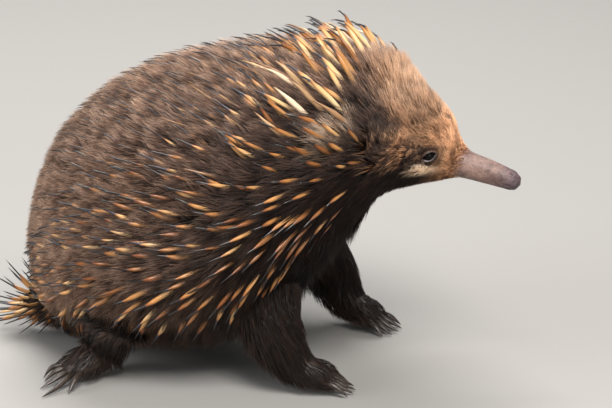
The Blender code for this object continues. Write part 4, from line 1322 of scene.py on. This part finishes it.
def tubeFur(name, frames, look, seed, tile):
    draw = np.random.default_rng(seed)

    def surface(a, b, grow):
        return tubePoints(frames, a, b, grow)

    rootA, rootB = scatter(surface, look["stretch"], (-math.pi, math.pi), evenly, look["tufts"], draw,
                           tubeSteps)
    perTuft = fur["strandsInTuft"]
    a, b = np.repeat(rootA, perTuft), np.repeat(rootB, perTuft)
    count = len(a)
    sizeA, sizeB, alongA, alongB = stepSizes(surface, a, b, 0, tubeSteps)
    length = np.interp(a, (0, 1), look["lengths"]) * draw.uniform(0.75, 1.2, count)
    offA, offB = draw.normal(0, fur["spread"], count), draw.normal(0, fur["spread"], count)
    a = np.clip(a + offA / sizeA, 0, 1)
    b = b + offB / np.maximum(sizeB, 0.002)
    normal = unit(surface(a, b, 0.001) - surface(a, b, 0))
    root = surface(a, b, -0.0005)
    paths = []
    for share in fur["shape"]["shares"]:
        rise = shortFur["stand"] * share - shortFur["bend"] * share**2
        droop = np.array([0, 0, shortFur["droop"]]) * share**2
        paths.append(root + (unit(alongA) * share + normal * rise - droop) * length[:, None])
    paths = keepOverFloor(np.stack(paths, 1))
    vary = np.repeat(draw.random(look["tufts"]), perTuft) * 0.65 + draw.random(count) * 0.35
    across, high = shortFur["mapSize"]
    uv = np.stack([tile[0] + across * np.repeat(rootA, perTuft),
                   tile[1] + high * (np.repeat(rootB, perTuft) / (2 * math.pi) + 0.5)], 1)
    none = np.zeros(count)
    piece = strandMesh(name, paths, look["width"] * draw.uniform(0.75, 1.2, count), normal, fur["shape"], uv,
                       np.tile(np.arange(perTuft), look["tufts"]), perTuft * fur["shape"]["sides"],
                       {"light": np.full(count, look["light"]), "sandy": none, "orange": none, "cream": none,
                        "smoky": none, "vary": vary})
    piece.data.materials.append(furLook)
    return piece


# Each has its own tile of the bake map.
legFur = [tubeFur("fur_" + name, limbFrames(leg, side), shortFur["leg"], 50 + k, (0.01 + 0.24 * k, 0.01))
          for k, (name, (leg, side)) in enumerate(legs.items())]
tailFur = tubeFur("fur_tail", tailFrames, shortFur["tail"], 60, (0.3, 0.11))
print("legs and tail furred")


# Ears: a fleshy rim round an upright slit
ears = {
    "ahead": 0.010, "turn": math.radians(66), "depth": 0.0125,  # from the nape, from the top, in the fur
    "size": (3.6 * mm, 8.0 * mm, 3.0 * mm),
    "proud": 0.002,
    "looks": (0.05, 0.92, 0.38),
    "ringThick": 0.35,
}


def makeEar(side, word):
    seat = bodyPoints(placeOf["nape"] + ears["ahead"], side * ears["turn"], -ears["depth"])
    rim = addRing("ear_rim_" + word, 48, 16, ears["ringThick"])
    out = unit(np.array(ears["looks"]) * [1, side, 1])
    ahead = unit(np.cross(out, [0, 0, 1]) * side)
    upward = np.cross(ahead, out) * side
    upward *= np.sign(upward[2])
    shape = getPoints(rim) * ears["size"] + [0, 0, ears["proud"]]
    setPoints(rim, seat + shape @ np.array([ahead, upward, out]))
    faceOut(rim)
    for name in ("rim", "wet"):
        setAttribute(rim, name, np.zeros(len(shape)))
    rim.data.materials.append(lidLook)
    return rim


earPieces = [makeEar(1, "left"), makeEar(-1, "right")]

# What rides on what: every piece rides on the root
for piece, slotName in [(skin, "beak_skin"), (spinePiece, "spine"), (tailSpines, "spine"),
                        *[(p, "coat") for p in coatPieces[:-2]], *[(p, "face") for p in facePieces],
                        *[(p, "paw") for p in legFur], (tailFur, "coat"),
                        *[(p, "claw") for p in clawPieces],
                        *[(ball, "eye") for ball, _ in eyePieces],
                        *[(lid, "beak_skin") for _, lid in eyePieces],
                        *[(p, "face") for p in earPieces]]:
    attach(piece, "root")
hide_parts("torso", "head", "beak", "foreleg_left", "foreleg_right", "hindleg_left", "hindleg_right",
            "tail")
for (ball, lid), word in zip(eyePieces, ("left", "right")):
    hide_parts("eye_" + word)
for rim, word in zip(earPieces, ("left", "right")):
    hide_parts("ear_" + word)

# Floor, light and camera
studio = {
    "metresPerPixel": 0.00069,
    "azimuth": math.radians(15),
    "elevation": math.radians(17),
    "lens": 200,
    "sensor": 36,
    "width": 612,
    "height": 408,
    "originPixel": (200, 350),
    "floor": "#8C8A87", "backdrop": "#E4E6E8", "backdropStrength": 0.36,
    "aimHeight": 0.1,
    # place, size, power and tint
    "lights": {
        "keyLight": ((0.62, -1.2, 1.9), 1.0, 74, (1.0, 0.97, 0.93)),
        "rimLight": ((-0.5, 1.0, 1.9), 1.2, 62, (1.0, 0.98, 0.96)),
        "fillLight": ((-1.8, -1.2, 1.0), 1.4, 38, (0.96, 0.98, 1.0)),
        "faceLight": ((0.75, -0.75, 0.35), 0.35, 2.4, (1.0, 0.96, 0.92)),
    },
}


def makeStudio():
    bpy.ops.object.select_all(action="DESELECT")
    bpy.ops.mesh.primitive_plane_add(size=12, location=(0, 0, 0))
    floor = bpy.context.object
    floor.name = "floor"
    made, tree, shader = newMaterial("studioFloor")
    shader.inputs["Base Color"].default_value = colour(studio["floor"])
    shader.inputs["Roughness"].default_value = 0.8
    floor.data.materials.append(made)
    azimuth, elevation = studio["azimuth"], studio["elevation"]
    back = Vector((math.sin(azimuth) * math.cos(elevation), -math.cos(azimuth) * math.cos(elevation),
                   math.sin(elevation)))
    upX, upZ = -math.sin(azimuth) * math.sin(elevation), math.cos(elevation)
    # the point in the body's middle plane that the picture's centre shows
    size = studio["metresPerPixel"]
    targetX = (studio["width"] / 2 - studio["originPixel"][0]) * size / math.cos(azimuth)
    targetZ = ((studio["originPixel"][1] - studio["height"] / 2) * size - targetX * upX) / upZ
    target = Vector((targetX, 0, targetZ)) + Vector(shift)
    distance = size * studio["lens"] / studio["sensor"] * studio["width"]
    camera = bpy.data.objects.new("camera", bpy.data.cameras.new("camera"))
    bpy.context.scene.collection.objects.link(camera)
    camera.data.lens = studio["lens"]
    camera.data.sensor_width = studio["sensor"]
    camera.location = target + back * distance
    camera.rotation_euler = (target - camera.location).to_track_quat("-Z", "Y").to_euler()
    bpy.context.scene.camera = camera

    for name, (place, size, power, tint) in studio["lights"].items():
        light = bpy.data.objects.new(name, bpy.data.lights.new(name, "AREA"))
        light.data.size = size
        light.data.energy = power
        light.data.color = tint
        light.location = place
        aim = Vector((0, 0, studio["aimHeight"])) - Vector(place)
        light.rotation_euler = aim.to_track_quat("-Z", "Y").to_euler()
        bpy.context.scene.collection.objects.link(light)

    world = bpy.data.worlds.new("studioWorld")
    bpy.context.scene.world = world
    world.use_nodes = True
    backdrop = world.node_tree.nodes["Background"]
    backdrop.inputs["Color"].default_value = colour(studio["backdrop"])
    backdrop.inputs["Strength"].default_value = studio["backdropStrength"]
    bpy.context.scene.view_settings.view_transform = "Standard"


makeStudio()
print("studio made")
